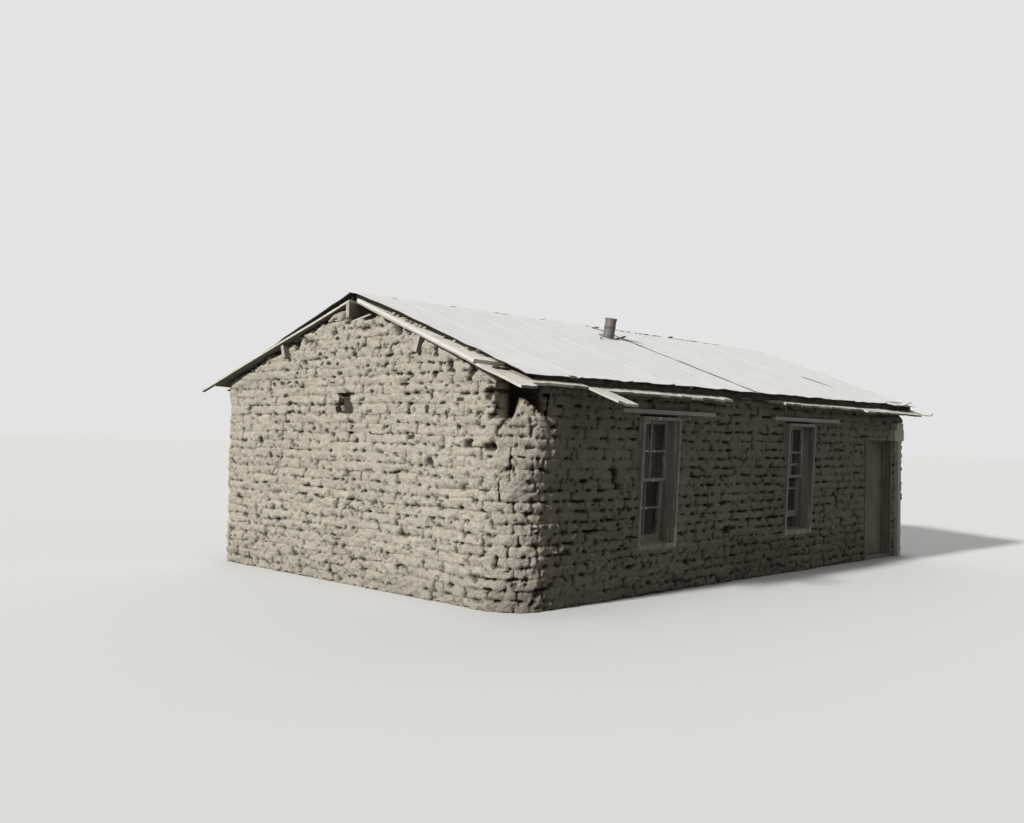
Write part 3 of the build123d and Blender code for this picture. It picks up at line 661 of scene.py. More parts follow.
def gable_keep(front):
    """Cells of a gable below its stepped edges; the front one is broken and has a hole."""
    def keep(s, z):
        flat = s.ravel()
        order = np.argsort(flat)
        x = np.zeros(len(flat))
        x[order] = around(flat[order])[0][:, 0]
        x = x.reshape(s.shape)
        fall = np.where(x > 0, SLOPE[RIGHT], SLOPE[LEFT])
        course_top = (np.floor(z / COURSE) + 1) * COURSE
        topmost = np.where((x > 0) & front, TOP_COURSE - 1, TOP_COURSE) * COURSE
        reach = (RIDGE - STEP_CLEARANCE - course_top) / fall
        wall = (np.abs(x) < reach) & (course_top < topmost + 0.01)
        if front:
            end = HOLE["width"] / 2 + 0.03 * np.sin(z / COURSE * math.pi)
            in_hole = np.abs(x - HOLE["x"]) < end
            in_hole &= (z > HOLE["low"] + 0.01) & (z < HOLE["high"] + 0.02)
            wall = (wall | (z < broken_top(x))) & ~in_hole
        return wall
    return keep


def wall(name, nodes, keys, step, top, keep, openings=(), proud=(), seams=(), hole=False):
    """A wall's sods, and the drawn-in surfaces of its solids behind them."""
    build = Build()
    sod_skin(build, lines(keys, step), course_lines(top), keep, openings, proud, seams)
    if hole:
        hole_back(build)
    for node in nodes:
        wall_core(build, node)
    build.piece(name, "sod", "sod", nodes, sharp=75)


def gable(name, node, along, ends, corners, limit, step, front):
    """A gable's sods, with grid lines at its corners and where its steps end."""
    tops = [row * COURSE for row in range(1, TOP_COURSE + 1)]
    reaches = [side * (RIDGE - STEP_CLEARANCE - top) / SLOPE[side] for side in SLOPE for top in tops]
    keys = [*ends, *corners, along(0)] + [along(x) for x in reaches if abs(x) < limit]
    wall(name, [node], keys, step, TOP_COURSE * COURSE, gable_keep(front), seams=ends, hole=front)


def long_side(name, node, side, along, ends, top, step):
    """A long wall's sods round its windows and beside its lintel planks."""
    def spread(y0, y1, low, high):
        return (*sorted((along(y0), along(y1))), low.z, high.z)

    frames = [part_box(f"{side}_{place}_window_frame") for place in ("front", "back")]
    windows = [spread(low.y, high.y, low, high) for low, high in frames]
    low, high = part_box(f"{side}_lintel_planks")
    plank = (frames[0][0].y - low.y) * 2 + 0.3
    planks = [spread(low.y, low.y + plank, low, high), spread(high.y - plank, high.y, low, high)]

    def keep(s, z):
        return np.all([(s <= s0) | (s >= s1) | (z <= z0) | (z >= z1) for s0, s1, z0, z1 in windows], 0)

    keys = [*ends] + [place for box in windows for place in box[:2]]
    wall(name, [node], keys, step, top, keep, windows, planks, ends)


def over_door():
    ends = on_right(over_low.y), on_right(over_high.y)
    wall("sods_over_door", ["right_wall_over_door"], ends, SOD_STEP, boards_under(RIGHT, SIDE),
         lambda s, z: z > over_low.z, [(*ends, 0, over_low.z)], seams=ends)


# Heights that every wall's grid has, so that neighbours meet line on line
HEIGHTS = [corner.z for node in ("right_front_window_frame", "right_lintel_planks")
           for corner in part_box(node)]
HEIGHTS += [over_low.z, boards_under(RIGHT, SIDE), boards_under(LEFT, SIDE)]


# Roof

def board_reach(side, y):
    """How far from the ridge the boards reach at a place along the eave."""
    ends = BOARD_ENDS[side]
    return SIDE + next(reach for end, reach in ends if y < FRONT + end + 1e-6 or end == ends[-1][0])


def board_edges(side, rng):
    """Edges of the roof boards along the eave, with one at each change of length."""
    edges = [front_edge(BOARDS_PAST_GABLE[side], 1.0, 1.0)]
    for end in (FRONT + end for end, _ in BOARD_ENDS[side]):
        count = max(1, round((end - edges[-1]) / 0.20))
        steps = rng.uniform(0.75, 1.25, count)
        edges += list(edges[-1] + np.cumsum(steps) / steps.sum() * (end - edges[-1]))
    return edges


def roof_boards(side, name, nodes):
    """Boards from ridge to eave, fanned out behind the skewed front edge, their ends uneven."""
    build = Build()
    rng = np.random.default_rng(21 + side)
    past = BOARDS_PAST_GABLE[side]
    edges = board_edges(side, rng)
    thick = upright(side, BOARD_THICKNESS)
    fan_end, fan_length = -2.4, 2.1
    gap_low, gap_high = PIPE["y"] - PIPE["half_gap"], PIPE["y"] + PIPE["half_gap"]
    for number, (low, high) in enumerate(zip(edges, edges[1:])):
        reach = board_reach(side, (low + high) / 2) - rng.uniform(0, 0.022)
        sag, lean, gap = (rng.uniform(*limits) for limits in
                          ((-0.003, 0.003), (-0.004, 0.004), (0.001, 0.004)))
        stretches = [(0.0, reach)]
        if side == RIGHT and low < gap_high and high > gap_low:
            stretches = [(0.0, PIPE["x"] - PIPE["half_gap"]), (PIPE["x"] + PIPE["half_gap"], reach)]

        def place(u, v, w):
            at_eave = low + gap + v * (high - low - 2 * gap)
            fan = (past[1] - past[0]) * np.clip((fan_end - at_eave) / fan_length, 0, 1)
            y = at_eave + fan * (1 - u / BOARDS_REACH[side])
            worn = 0.004 * noise((u, v * 3, number), (0.3, 1, 1), 41) + lean * (v - 0.5)
            end = ramp(u, reach - 0.06, reach)
            height = thick * w + worn + sag * end + sprung(side, u, y)
            return on_roof(side, u + end * 0.012 * (v - 0.5), y, height)

        def shade(u, v, w):
            # painted shade: the boards' undersides and cut ends are darkened
            return number * 7 % 11 / 11, np.maximum(0.85 * (w < 0.04), 0.75 * (u > reach - 1e-6))

        for start, end in stretches:
            build.bent(lines([start, end - 0.04, end - 0.003, end], 0.12),
                       np.array([0, 0.33, 0.67, 1]), np.array([0, 0.08, 1]), place, shade)
    build.piece(name, "board", "board", nodes, bevel=0.0025)


def earth_layer(side, name, nodes):
    """Crumbling earth between the boards and the roofing, its edges lumpy."""
    reach = EARTH_REACH[side]
    fallen = (0.11, 2.05, 2.25) if side == RIGHT else (0.0, 0.0, 1.0)

    def place(u, v, w):
        front = roofing_front(side, u) + EARTH_SETBACK[side] + fallen[0] * ramp(u, *fallen[1:])
        y = front + v * (BACK - front)
        foot = upright(side, BOARD_THICKNESS) + 0.001 + sprung(side, u, y)
        flat = (u, y, w * 0.07)
        front_face = (1 - ramp(v, 0, 0.004)) * 0.022 * rough(flat, 0.07, 51)
        eave_face = 0.0
        if side == RIGHT:
            eave_face = ramp(u, reach - 0.05, reach) * (0.020 * rough(flat, 0.09, 52) - 0.004)
        lumps = 0.006 * rough(flat, 0.12, 53, 2) * w
        height = foot + w * np.maximum(earth_height(side, u, y) - foot - 0.004 + lumps, 0.0005)
        return on_roof(side, u + eave_face, y + front_face, height)

    def shade(u, v, w):
        # painted shade: the front face is darkened nearly to black, and the earth darker towards its
        # foot
        return 0.5, np.maximum(0.2 * (1 - w), 1.0 * (v < 0.004))

    if side == RIGHT:
        us = lines([0, reach - 0.12, reach - 0.03, reach], 0.10)
        us = np.unique([*us, *(reach - np.array([0.1, 0.075, 0.05, 0.02, 0.01]))])
    else:
        us = lines([0, reach], 0.03)
    vs = np.linspace(0, 1, 300 if side == RIGHT else 90)
    build = Build()
    build.bent(us, np.unique([*vs, 0.0006, 0.0015, 0.003, 0.005]), np.linspace(0, 1, 5), place, shade)
    build.piece(name, "roof_earth", "roof_earth", nodes, sharp=60)


def seam_places(side):
    """Where one width of roofing ends and the next begins."""
    place, places = front_edge(ROOFING_PAST_GABLE[side], 1.0, 1.0) + ROOFING_EXPOSED, []
    while place < BACK - ROOFING_EXPOSED / 3:
        places.append(place)
        place += ROOFING_EXPOSED + ROOFING_SEAM
    return places


def roofing_widths(side, name, nodes):
    """Thin widths of roofing laid from the ridge to the eave, each lapped a little over the next."""
    build = Build()
    reach = ROOFING_REACH[side]
    seams = seam_places(side)
    trim = 0.003
    for number in range(len(seams) + 1):
        last = number == len(seams)
        opens = side == RIGHT and number + 1 == OPEN_SEAM

        def seam(count, distance):
            return seams[count] + SEAM_SKEW[side][count] * (distance - reach / 2)

        def place(u, v, w):
            ragged = 0.016 * (rough((v * 0.85, number), (0.30, 1), 61) - 0.7)
            distance = u + ramp(u, reach - 0.3, reach) * ragged
            if number:
                before = seam(number - 1, distance)
            else:
                before = roofing_front(side, distance) + 0.008 * noise((distance,), 0.15, 62)
            after = np.full(len(u), BACK)
            if not last:
                after = seam(number, distance) + (-0.012 if opens else 0.025)
                after = after + 0.006 * noise((distance, number), (0.4, 1), 63)
            y = before + v * (after - before)
            if side == LEFT:
                shorter = left_roofing_end(y) / reach - 1
                distance = distance * (1 + shorter * ramp(distance, 1.6, reach))
            here = (distance, y, number)
            height = earth_height(side, distance, y) + 0.004 + 0.009 * w
            height += 0.004 * noise(here, (0.45, 0.22, 1), 64) + 0.003 * noise(here, (0.12, 0.10, 1), 65)
            if opens:
                height += -0.006 * ramp(v, 0.9, 1.0)
            elif not last:
                height += 0.008 * ramp(v, 0.86, 1.0)
            height += 0.007 * noise((y,), 0.25, 66) * ramp(distance, reach - 0.25, reach)
            if not number:
                height += (0.006 * noise((distance,), 0.2, 67) + 0.002) * (1 - ramp(v, 0, 0.12))
            # the far corner curls up
            if last and side == RIGHT:
                height += 0.045 * ramp(distance, 2.25, 2.79) * ramp(y, 3.75, 4.25)
            return on_roof(side, distance, y, height)

        def shade(u, v, w):
            rim = (u < trim) | (u > reach - trim / 2) | (v < 1e-6) | (v > 1 - 1e-6) | (w < 0.5)
            # painted shadow along each width's raised back edge, darkest at the open seam
            seam_shadow = np.where(v > 0.99, 0.9 if opens else 0.4, 0.0)
            return number * 5 % 7 / 7, np.where(rim, 1.0, seam_shadow)

        us = lines([0, trim, reach - trim, reach], 0.045)
        vs = np.concatenate([[0, 0.004], np.linspace(0.04, 0.96, 20), [0.984, 0.996, 1]])
        build.bent(us, vs, np.array([0, 1]), place, shade)
    if side == RIGHT:
        torn_edges(build)
    build.piece(name, "roofing", "roofing", nodes, sharp=50)


def torn_edges(build):
    """Loose strips of roofing that stick out under the last width at the far eave."""
    strips = ((3.92, 4.24, 0.45, 0.055, 0.030, 0.014), (3.55, 3.98, 0.30, 0.035, 0.012, 0.006))
    for low, high, reach_in, reach_out, lift, drop in strips:
        def place(u, v, w):
            distance = ROOFING_REACH[RIGHT] - reach_in + u * (reach_in + reach_out)
            y = low + v * (high - low) + 0.02 * noise((u,), 0.3, 68)
            wave = lift * u * u + 0.006 * noise((u, v), 0.3, 69)
            height = earth_height(RIGHT, distance, y) + 0.001 - drop + wave + 0.006 * w
            return on_roof(RIGHT, distance, y, height)

        # painted shade: the strips are darkened for the shade under the curled last width
        build.bent(np.linspace(0, 1, 12), np.linspace(0, 1, 10), np.array([0, 1]), place, (0.3, 0.85))


# Small things on the roof

def lump(build, centre, half_sizes, turn=0.0, seed=1, roughness=0.25, dark_and_shade=0.0, lean=0.0):
    """Rounded lump or stick: a ball of the given half sizes, turned about Z, leaning and roughened."""
    at = np.linspace(-1, 1, 6)

    def place(u, v, w):
        ball = np.stack([u, v, w], -1)
        ball /= np.linalg.norm(ball, axis=1)[:, None]
        ball *= 1 + roughness * noise((ball + seed * 3.7).T, 0.9, 71)[:, None]
        x, y, z = (ball * half_sizes).T
        x, z = x * math.cos(lean) + z * math.sin(lean), z * math.cos(lean) - x * math.sin(lean)
        return np.stack([centre[0] + x * math.cos(turn) - y * math.sin(turn),
                         centre[1] + x * math.sin(turn) + y * math.cos(turn), centre[2] + z], -1)

    build.bent(at, at, at, place, (lattice(seed, 1, 1, 3), dark_and_shade))


def roof_top(x, y, above=0.0):
    """Place on the right slope's roofing, or a little above it."""
    return x, y, boards_under(RIGHT, x) + float(earth_height(RIGHT, x, y)) + 0.014 + above


def on_rake(x, y, above):
    """Place above the rake plank."""
    plank = upright(RIGHT, BOARD_THICKNESS) + upright(RIGHT, RAKE_PLANK_THICKNESS)
    return x, y, boards_under(RIGHT, x) + plank + above


def roof_crumbs():
    """Crumbs of earth on the rake plank, bumps in the dark band at the eave, and dark lumps of painted
    shade under the rake plank's end.
    """
    dark, pale = Build(), Build()
    rng = np.random.default_rng(5)
    for n in range(44):
        x = rng.uniform(0.62, 1.20) if n < 38 else rng.uniform(1.5, 2.2)
        y = float(roofing_front(RIGHT, x)) + rng.uniform(-0.07, 0.01)
        size = rng.uniform(0.010, 0.022)
        lump(pale if n % 3 else dark, on_rake(x, y, size * 0.5), (size * 1.3, size, size * 0.8),
             rng.uniform(0, 3), n)
    bumps = ((2.725, -3.59, 0.040), (2.72, -2.95, 0.022), (2.72, -1.6, 0.026), (2.72, 1.9, 0.026))
    for x, y, size in bumps:
        lump(dark, roof_top(x, y, -0.026), (0.03, size * 2, size * 0.7), 0.1, int(size * 1000))
    # painted shade: dark earth lumps stand in for the shade under the rake plank's lower end
    for x, y in ((2.36, -4.28), (2.38, -4.22), (2.37, -4.16)):
        lump(dark, on_rake(x, y, -0.030), (0.04, 0.05, 0.018), 0.3, int(-100 * y))
    pale.piece("sod_crumbs", "sod", "sod", sharp=60)
    dark.piece("roof_crumbs", "roof_earth", "roof_earth", sharp=60)


def loose_sticks():
    """Weathered sticks that lie on the ridge, under the rake and at the far eave."""
    build = Build()
    rng = np.random.default_rng(17)
    dark = 0.85
    for x, y, half, turn in ((0.124, -0.152, 0.060, 0.85), (0.555, -0.088, 0.080, 0.12),
                             (0.02, 1.78, 0.075, 1.5), (2.08, -4.255, 0.035, 1.2),
                             (0.76, -0.78, 0.020, 0.0), (0.65, -0.30, 0.045, 0.9)):
        lump(build, roof_top(x, y, 0.010), (half, 0.016, 0.014), turn, int(100 * x) + 3, 0.3, dark, -0.2)
    for n in range(9):
        y = 0.30 + 0.15 * n + rng.uniform(-0.03, 0.03)
        lump(build, roof_top(0.02, y), (0.012, rng.uniform(0.03, 0.07), 0.009), 0.0, n + 60, 0.3, dark)
    for n in range(8):
        place = roof_top(0.02, 1.95 + 0.15 * n, -0.002)
        lump(build, place, (0.010, 0.072, 0.007), 0.0, n + 80, 0.3, dark)
    # painted shadow: dark slits stand in for the shade where the roofing has lifted
    for x, y, half, turn, lean in ((1.867, 2.948, 0.28, 0.288, 0.344), (2.634, 3.817, 0.27, 1.31, 0.03)):
        lump(build, roof_top(x, y, 0.003), (half, 0.011, 0.007), turn, int(100 * x), 0.2, 0.98, lean)
    # a peeled stick beside the ridge beam, and a thin bent one past the far corner
    stick(build, [(0.02, -4.235, 2.925), (0.20, -4.262, 2.948), (0.40, -4.285, 2.972)], 0.011, 0.0)
    stick(build, [(2.66, 4.10, 2.235), (2.83, 4.14, 2.180), (2.96, 4.17, 2.128), (3.05, 4.19, 2.118),
                  (3.09, 4.20, 2.150)], 0.008, 0.6)
    build.piece("loose_sticks", "stick", "pale_wood", sharp=50)


def stick(build, points, radius, dark_and_shade, sides=8):
    """Round stick with slightly uneven thickness through a few points."""
    steps = np.linspace(0, len(points) - 1, 6 * len(points))
    path = np.stack([np.interp(steps, np.arange(len(points)), p) for p in np.transpose(points)], -1)
    ahead = np.gradient(path, axis=0)
    ahead /= np.linalg.norm(ahead, axis=1)[:, None]
    sideways = np.cross(ahead, (0, 0, 1))
    sideways /= np.linalg.norm(sideways, axis=1)[:, None]
    above = np.cross(sideways, ahead)
    at, turn = crossings(np.arange(len(path)), np.arange(sides))
    angle = (turn * 2 * math.pi / sides)[:, None]
    thick = radius * (1 + 0.15 * noise((at, 1, radius * 900), (2, 1, 1), 72))
    shell = path[at] + (sideways[at] * np.cos(angle) + above[at] * np.sin(angle)) * thick[:, None]
    index = numbered(len(path), sides)
    index = np.concatenate([index, index[:, :1]], 1)
    first, last = len(shell), len(shell) + 1
    build.add(np.concatenate([shell, path[:1], path[-1:]]), quads(index), 0.5, dark_and_shade)
    caps = [(first, index[0, n], index[0, n + 1]) for n in range(sides)]
    caps += [(last, index[-1, n + 1], index[-1, n]) for n in range(sides)]
    build.faces.append(np.array(caps) + build.count - len(shell) - 2)


def pipe_rim():
    """Dark bands round the stovepipe, at its top and at its foot."""
    build = Build()
    lean = PIPE["lean"]
    foot = np.array(
        [PIPE["x"], PIPE["y"], boards_under(RIGHT, PIPE["x"]) + upright(RIGHT, PIPE["layers"])])
    axis = np.array([math.sin(lean), 0, math.cos(lean)])
    across = np.array([math.cos(lean), 0, -math.sin(lean)])
    for high in (PIPE["above"] - 0.013, PIPE["above"] - 0.125):
        def place(u, v, w):
            radius = (PIPE["radius"] - 0.006 + 0.009 * v)[:, None]
            ring = across * np.cos(u)[:, None] + np.array([0, 1, 0]) * np.sin(u)[:, None]
            return foot + axis * (high - 0.012 + 0.022 * w)[:, None] + ring * radius

        build.bent(np.linspace(0, 2 * math.pi, 33), np.array([0, 1]), np.array([0, 1]), place)
    build.piece("stovepipe_rim", "iron", "iron", sharp=50)


def floor_planks():
    """Worn planks along the house, with the floor's own top, cut off at the door."""
    build = Build()
    low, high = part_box("floor")
    rng = np.random.default_rng(13)
    edges = np.linspace(low.x, high.x, round((high.x - low.x) / 0.17) + 1)

    def place(u, v, w):
        worn = 0.002 * ramp(w, low.z, high.z) * noise((u, v), (0.1, 0.5), 73)
        return np.stack([u, v, w - worn], -1)

    for number, (a, b) in enumerate(zip(edges, edges[1:])):
        cut = rng.uniform(-1.5, 1.5)
        for start, end in ((low.y, cut), (cut + 0.002, high.y)):
            drop = rng.uniform(0, 0.003)
            if b > DOOR_INSIDE["x"]:
                start = max(start, DOOR_INSIDE["y"])
            if end - start >= 0.05:
                build.bent(lines([a + 0.0015, b - 0.0015], 0.08), lines([start, end], 0.4),
                           np.array([low.z, high.z - drop]), place, (number * 3 % 8 / 8,))
    build.piece("floor_planks", "floor", "floor_wood", ["floor"], bevel=0.002)


# Materials

class Nodes:
    """A node tree, with short calls for the nodes used here."""

    def __init__(self, owner):
        owner.use_nodes = True
        self.tree = owner.node_tree

    def node(self, kind, inputs=(), **settings):
        made = self.tree.nodes.new("ShaderNode" + kind)
        for name, value in settings.items():
            setattr(made, name, value)
        for socket, value in dict(inputs).items():
            self.put(made.inputs[socket], value)
        return made

    def put(self, socket, value):
        if isinstance(value, bpy.types.NodeSocket):
            self.tree.links.new(value, socket)
        else:
            socket.default_value = value

    def maths(self, operation, a, b=0.0):
        return self.node("Math", {0: a, 1: b}, operation=operation).outputs[0]

    def span(self, value, low, high, to_low=0.0, to_high=1.0):
        limits = {0: value, 1: low, 2: high, 3: to_low, 4: to_high}
        return self.node("MapRange", limits).outputs[0]


class Shader(Nodes):
    """A procedural material."""

    def __init__(self, name):
        self.material = bpy.data.materials.new(name)
        super().__init__(self.material)
        self.surface = self.tree.nodes["Principled BSDF"].inputs
        self.here = self.node("TexCoord").outputs["Object"]

    def shade(self):
        """The mesh's own tone, darkness and damp values, the last two with painted shade in them."""
        values = self.node("Attribute", attribute_name="shade").outputs["Color"]
        return tuple(self.node("SeparateColor", {0: values}).outputs)

    def stretch(self, *scale):
        """Object coordinates, scaled along each axis."""
        return self.node("Mapping", {"Vector": self.here, "Scale": scale}).outputs[0]

    def shifted(self, vector, amount):
        """A vector moved by a multiple of a value, so that each piece has its own pattern."""
        way = {0: (7.3, 11.9, 5.1), "Scale": amount}
        move = self.node("VectorMath", way, operation="SCALE").outputs[0]
        return self.node("VectorMath", {0: vector, 1: move}).outputs[0]

    def noise(self, vector, scale, detail=4.0, roughness=0.55, distortion=0.0):
        settings = {"Vector": vector, "Scale": scale, "Detail": detail,
                    "Roughness": roughness, "Distortion": distortion}
        return self.node("TexNoise", settings).outputs["Fac"]

    def cells(self, vector, scale):
        return self.node("TexVoronoi", {"Vector": vector, "Scale": scale}).outputs["Distance"]

    def mix(self, factor, a, b):
        made = self.node("Mix", {0: factor}, data_type="RGBA")
        for socket, value in ((made.inputs[6], a), (made.inputs[7], b)):
            self.put(socket, (*value, 1.0) if isinstance(value, tuple) else value)
        return made.outputs[2]

    def layers(self, colour, *layers):
        """A colour with others over it: each by a mask, two of its values, how much, and the colour."""
        for mask, low, high, amount, over in layers:
            colour = self.mix(self.span(mask, low, high, 0, amount), colour, over)
        return colour

    def total(self, *parts):
        """Sum of masks, each with its factor."""
        first, *rest = (self.maths("MULTIPLY", mask, factor) for mask, factor in parts)
        for part in rest:
            first = self.maths("ADD", first, part)
        return first

    def finish(self, colour, roughness, height, depth, **fixed):
        """Set the surface: colour, roughness, and a bump of a real depth in metres."""
        bump = self.node("Bump", {"Height": height, "Distance": depth}).outputs[0]
        inputs = {"Base Color": colour, "Roughness": roughness, "Normal": bump, **fixed}
        for name, value in inputs.items():
            self.put(self.surface[name], value)
        return self.material


def times(colour, share):
    return tuple(c * share for c in colour)


def sod_material():
    m = Shader("dry_sod")
    tone, dark_and_shade, damp_and_shade = m.shade()
    broad = m.noise(m.here, 1.3, 3)
    patch = m.noise(m.here, 14, 5, 0.65)
    fine = m.noise(m.here, 90, 5, 0.7)
    roots = m.noise(m.shifted(m.stretch(150, 150, 26), tone), 1.0, 3, 0.6, 0.8)
    crumble = m.noise(m.here, 40, 4, 0.65, 0.4)
    colour = m.layers(
        (0.46, 0.408, 0.32),
        (patch, 0.3, 0.7, 1, (0.68, 0.618, 0.51)),
        (tone, 0, 1, 0.40, (0.41, 0.365, 0.295)),
        (crumble, 0.50, 0.30, 0.75, (0.20, 0.168, 0.125)),
        (crumble, 0.56, 0.70, 0.6, (0.68, 0.62, 0.51)),
        (broad, 0.35, 0.7, 0.35, (0.58, 0.53, 0.44)),
        (roots, 0.56, 0.74, 0.5, (0.66, 0.60, 0.48)),
        (fine, 0.5, 0.25, 0.55, (0.13, 0.105, 0.075)))
    # damp and the painted shade of the long right wall darken the sods alike; dark joints and painted
    # shade darken them further
    damp_and_shade_mix = m.maths("MULTIPLY", damp_and_shade, m.span(broad, 0.3, 0.7, 0.45, 0.8))
    colour = m.layers(m.mix(damp_and_shade_mix, colour, (0.17, 0.145, 0.11)),
                      (dark_and_shade, 0.12, 0.8, 0.93, (0.035, 0.028, 0.02)))
    height = m.total((patch, 0.9), (fine, 0.45), (roots, 0.35), (m.cells(m.here, 55), 0.4),
                     (crumble, 1.3))
    return m.finish(colour, m.span(fine, 0.2, 0.8, 0.88, 0.98), height, 0.016,
                    **{"Specular IOR Level": 0.25})


def earth_material():
    m = Shader("roof_earth")
    patch = m.noise(m.here, 16, 5, 0.65)
    fine = m.noise(m.here, 110, 4, 0.7)
    # the mesh's darkness paints shade on the earth's front face and foot
    colour = m.layers(
        (0.045, 0.037, 0.028),
        (patch, 0.3, 0.7, 1, (0.12, 0.10, 0.075)),
        (m.cells(m.here, 38), 0.14, 0.05, 0.6, (0.30, 0.27, 0.23)),
        (fine, 0.5, 0.25, 0.6, (0.02, 0.016, 0.012)),
        (m.shade()[1], 0.3, 1.0, 0.85, (0.012, 0.010, 0.008)))
    return m.finish(colour, 0.95, m.total((patch, 1), (fine, 0.4)), 0.010,
                    **{"Specular IOR Level": 0.2})


def wood_material(name, along, light, dark, worn=(0.55, 0.52, 0.47), paint=None, painted_side_shade=None):
    """Sawn wood with its grain along one axis, weathered, and with worn paint if a colour is given.

    The last setting, a share of painted shade, darkens the sides and leaves the end grain pale.
    """
    m = Shader(name)
    tone, dark_and_shade, _ = m.shade()
    scale = [34.0 * 0.045 if axis == along else 34.0 for axis in "xyz"]
    grain = m.shifted(m.stretch(*scale), tone)
    place = m.shifted(m.here, tone)
    rings = m.noise(grain, 1.0, 5, 0.6, 1.2)
    fibre = m.noise(grain, 5.0, 3, 0.7)
    broad = m.noise(place, 2.1, 4, 0.6)
    stain = m.noise(place, 9.0, 4, 0.65)
    knots = m.span(m.cells(m.shifted(m.stretch(*times(scale, 0.09)), tone), 1.0), 0.02, 0.13, 1, 0)
    colour = m.layers(
        dark,
        (rings, 0.32, 0.68, 1, light),
        (fibre, 0.35, 0.7, 0.45, dark),
        (broad, 0.35, 0.7, 0.5, worn),
        (tone, 0, 1, 0.35, times(worn, 0.72)),
        (knots, 0, 1, 0.75, times(dark, 0.35)),
        (stain, 0.62, 0.8, 0.5, times(dark, 0.5)),
        # the mesh's darkness: darker sticks, and painted shade on board undersides and ends and in the
        # roofing's slits
        (dark_and_shade, 0.1, 0.9, 0.9, times(dark, 0.2)))
    if painted_side_shade:
        # painted shade on the sides across the grain
        normal = m.node("NewGeometry").outputs["Normal"]
        normal = m.node("SeparateXYZ", {0: normal}).outputs
        sides = m.span(m.maths("ABSOLUTE", normal["xyz".index(along)]), 0.3, 0.8, painted_side_shade, 0)
        colour = m.mix(sides, colour, times(dark, 0.5))
    height = m.total((rings, 0.6), (fibre, 0.5))
    if paint:
        flakes = m.noise(m.stretch(*times(scale, 0.5)), 1.0, 5, 0.7)
        left = m.span(m.total((flakes, 1), (broad, 0.5)), 0.62, 0.70, 1, 0)
        colour = m.mix(left, colour, m.layers(paint, (stain, 0.4, 0.75, 0.5, times(paint, 0.72))))
        height = m.total((height, 1), (left, 0.5))
    return m.finish(colour, m.span(stain, 0.3, 0.7, 0.72, 0.9), height, 0.0022)


def roofing_material():
    m = Shader("bleached_roofing")
    tone, dark_and_shade, _ = m.shade()
    here = m.shifted(m.here, tone)
    broad = m.noise(here, 0.9, 4, 0.6)
    fine = m.noise(here, 70, 4, 0.6)
    streaks = m.noise(m.shifted(m.stretch(0.8, 14, 0.8), tone), 1.0, 4, 0.6)
    # the mesh's darkness: black cut edges and underside, painted shadow at the seams, painted shade on
    # the torn strips
    colour = m.layers(
        (0.63, 0.62, 0.60),
        (broad, 0.3, 0.7, 1, (0.72, 0.71, 0.69)),
        (streaks, 0.55, 0.8, 0.35, (0.52, 0.505, 0.48)),
        (m.noise(here, 11, 3, 0.5), 0.68, 0.8, 0.45, (0.40, 0.375, 0.34)),
        (fine, 0.45, 0.2, 0.3, (0.48, 0.47, 0.44)),
        (dark_and_shade, 0, 1, 1, (0.045, 0.04, 0.035)))
    return m.finish(colour, m.span(broad, 0.3, 0.7, 0.62, 0.8), m.total((fine, 1), (broad, 2.0)), 0.003)


def glass_material():
    m = Shader("old_glass")
    dust = m.noise(m.here, 30, 4, 0.7)
    colour = m.layers((0.86, 0.89, 0.88), (dust, 0.5, 0.8, 0.5, (0.62, 0.62, 0.58)))
    return m.finish(colour, m.span(dust, 0.4, 0.8, 0.02, 0.22), m.noise(m.here, 7, 2, 0.4), 0.0015,
                    **{"Transmission Weight": 1.0, "IOR": 1.45})


def rust_material(name, base, rust, light, roughness=0.75, metal=0.35):
    m = Shader(name)
    broad = m.noise(m.here, 9, 5, 0.65)
    fine = m.noise(m.here, 120, 4, 0.7)
    colour = m.layers(
        base,
        (broad, 0.4, 0.62, 1, rust),
        (m.noise(m.stretch(45, 45, 5), 1.0, 4, 0.6), 0.55, 0.75, 0.6, light),
        (fine, 0.5, 0.25, 0.5, times(base, 0.4)))
    return m.finish(colour, m.span(broad, 0.3, 0.7, roughness - 0.2, roughness + 0.15),
                    m.maths("ADD", broad, fine), 0.0012, Metallic=metal)


WOODS = {
    "timber": ("timber_along_house", "y", (0.50, 0.45, 0.37), (0.26, 0.225, 0.175)),
    "board": ("board_down_slope", "x", (0.66, 0.61, 0.52), (0.42, 0.38, 0.31), (0.74, 0.71, 0.65)),
    "plank": ("plank_along_house", "y", (0.70, 0.66, 0.58), (0.45, 0.41, 0.35), (0.78, 0.75, 0.70)),
    "rake": ("pale_rake_plank", "x", (0.74, 0.70, 0.62), (0.52, 0.48, 0.41), (0.80, 0.78, 0.72)),
    "paint": ("worn_window_paint", "z", (0.46, 0.42, 0.35), (0.24, 0.21, 0.17)),
    "frame": ("window_frame_wood", "z", (0.42, 0.38, 0.31), (0.22, 0.19, 0.15)),
    "door": ("weathered_door", "z", (0.32, 0.28, 0.22), (0.14, 0.12, 0.09), (0.40, 0.37, 0.32)),
    "post": ("pale_post", "z", (0.78, 0.75, 0.68), (0.55, 0.51, 0.44), (0.84, 0.82, 0.76)),
    "floor": ("worn_floor", "y", (0.40, 0.34, 0.26), (0.20, 0.165, 0.12), (0.48, 0.43, 0.36)),
    "stick": ("weathered_stick", "y", (0.60, 0.56, 0.48), (0.36, 0.32, 0.26), (0.68, 0.65, 0.58)),
}
PAINTS = {"paint": (0.88, 0.87, 0.82), "frame": (0.66, 0.63, 0.57)}
PAINTED_SIDE_SHADES = {"timber": 0.75}
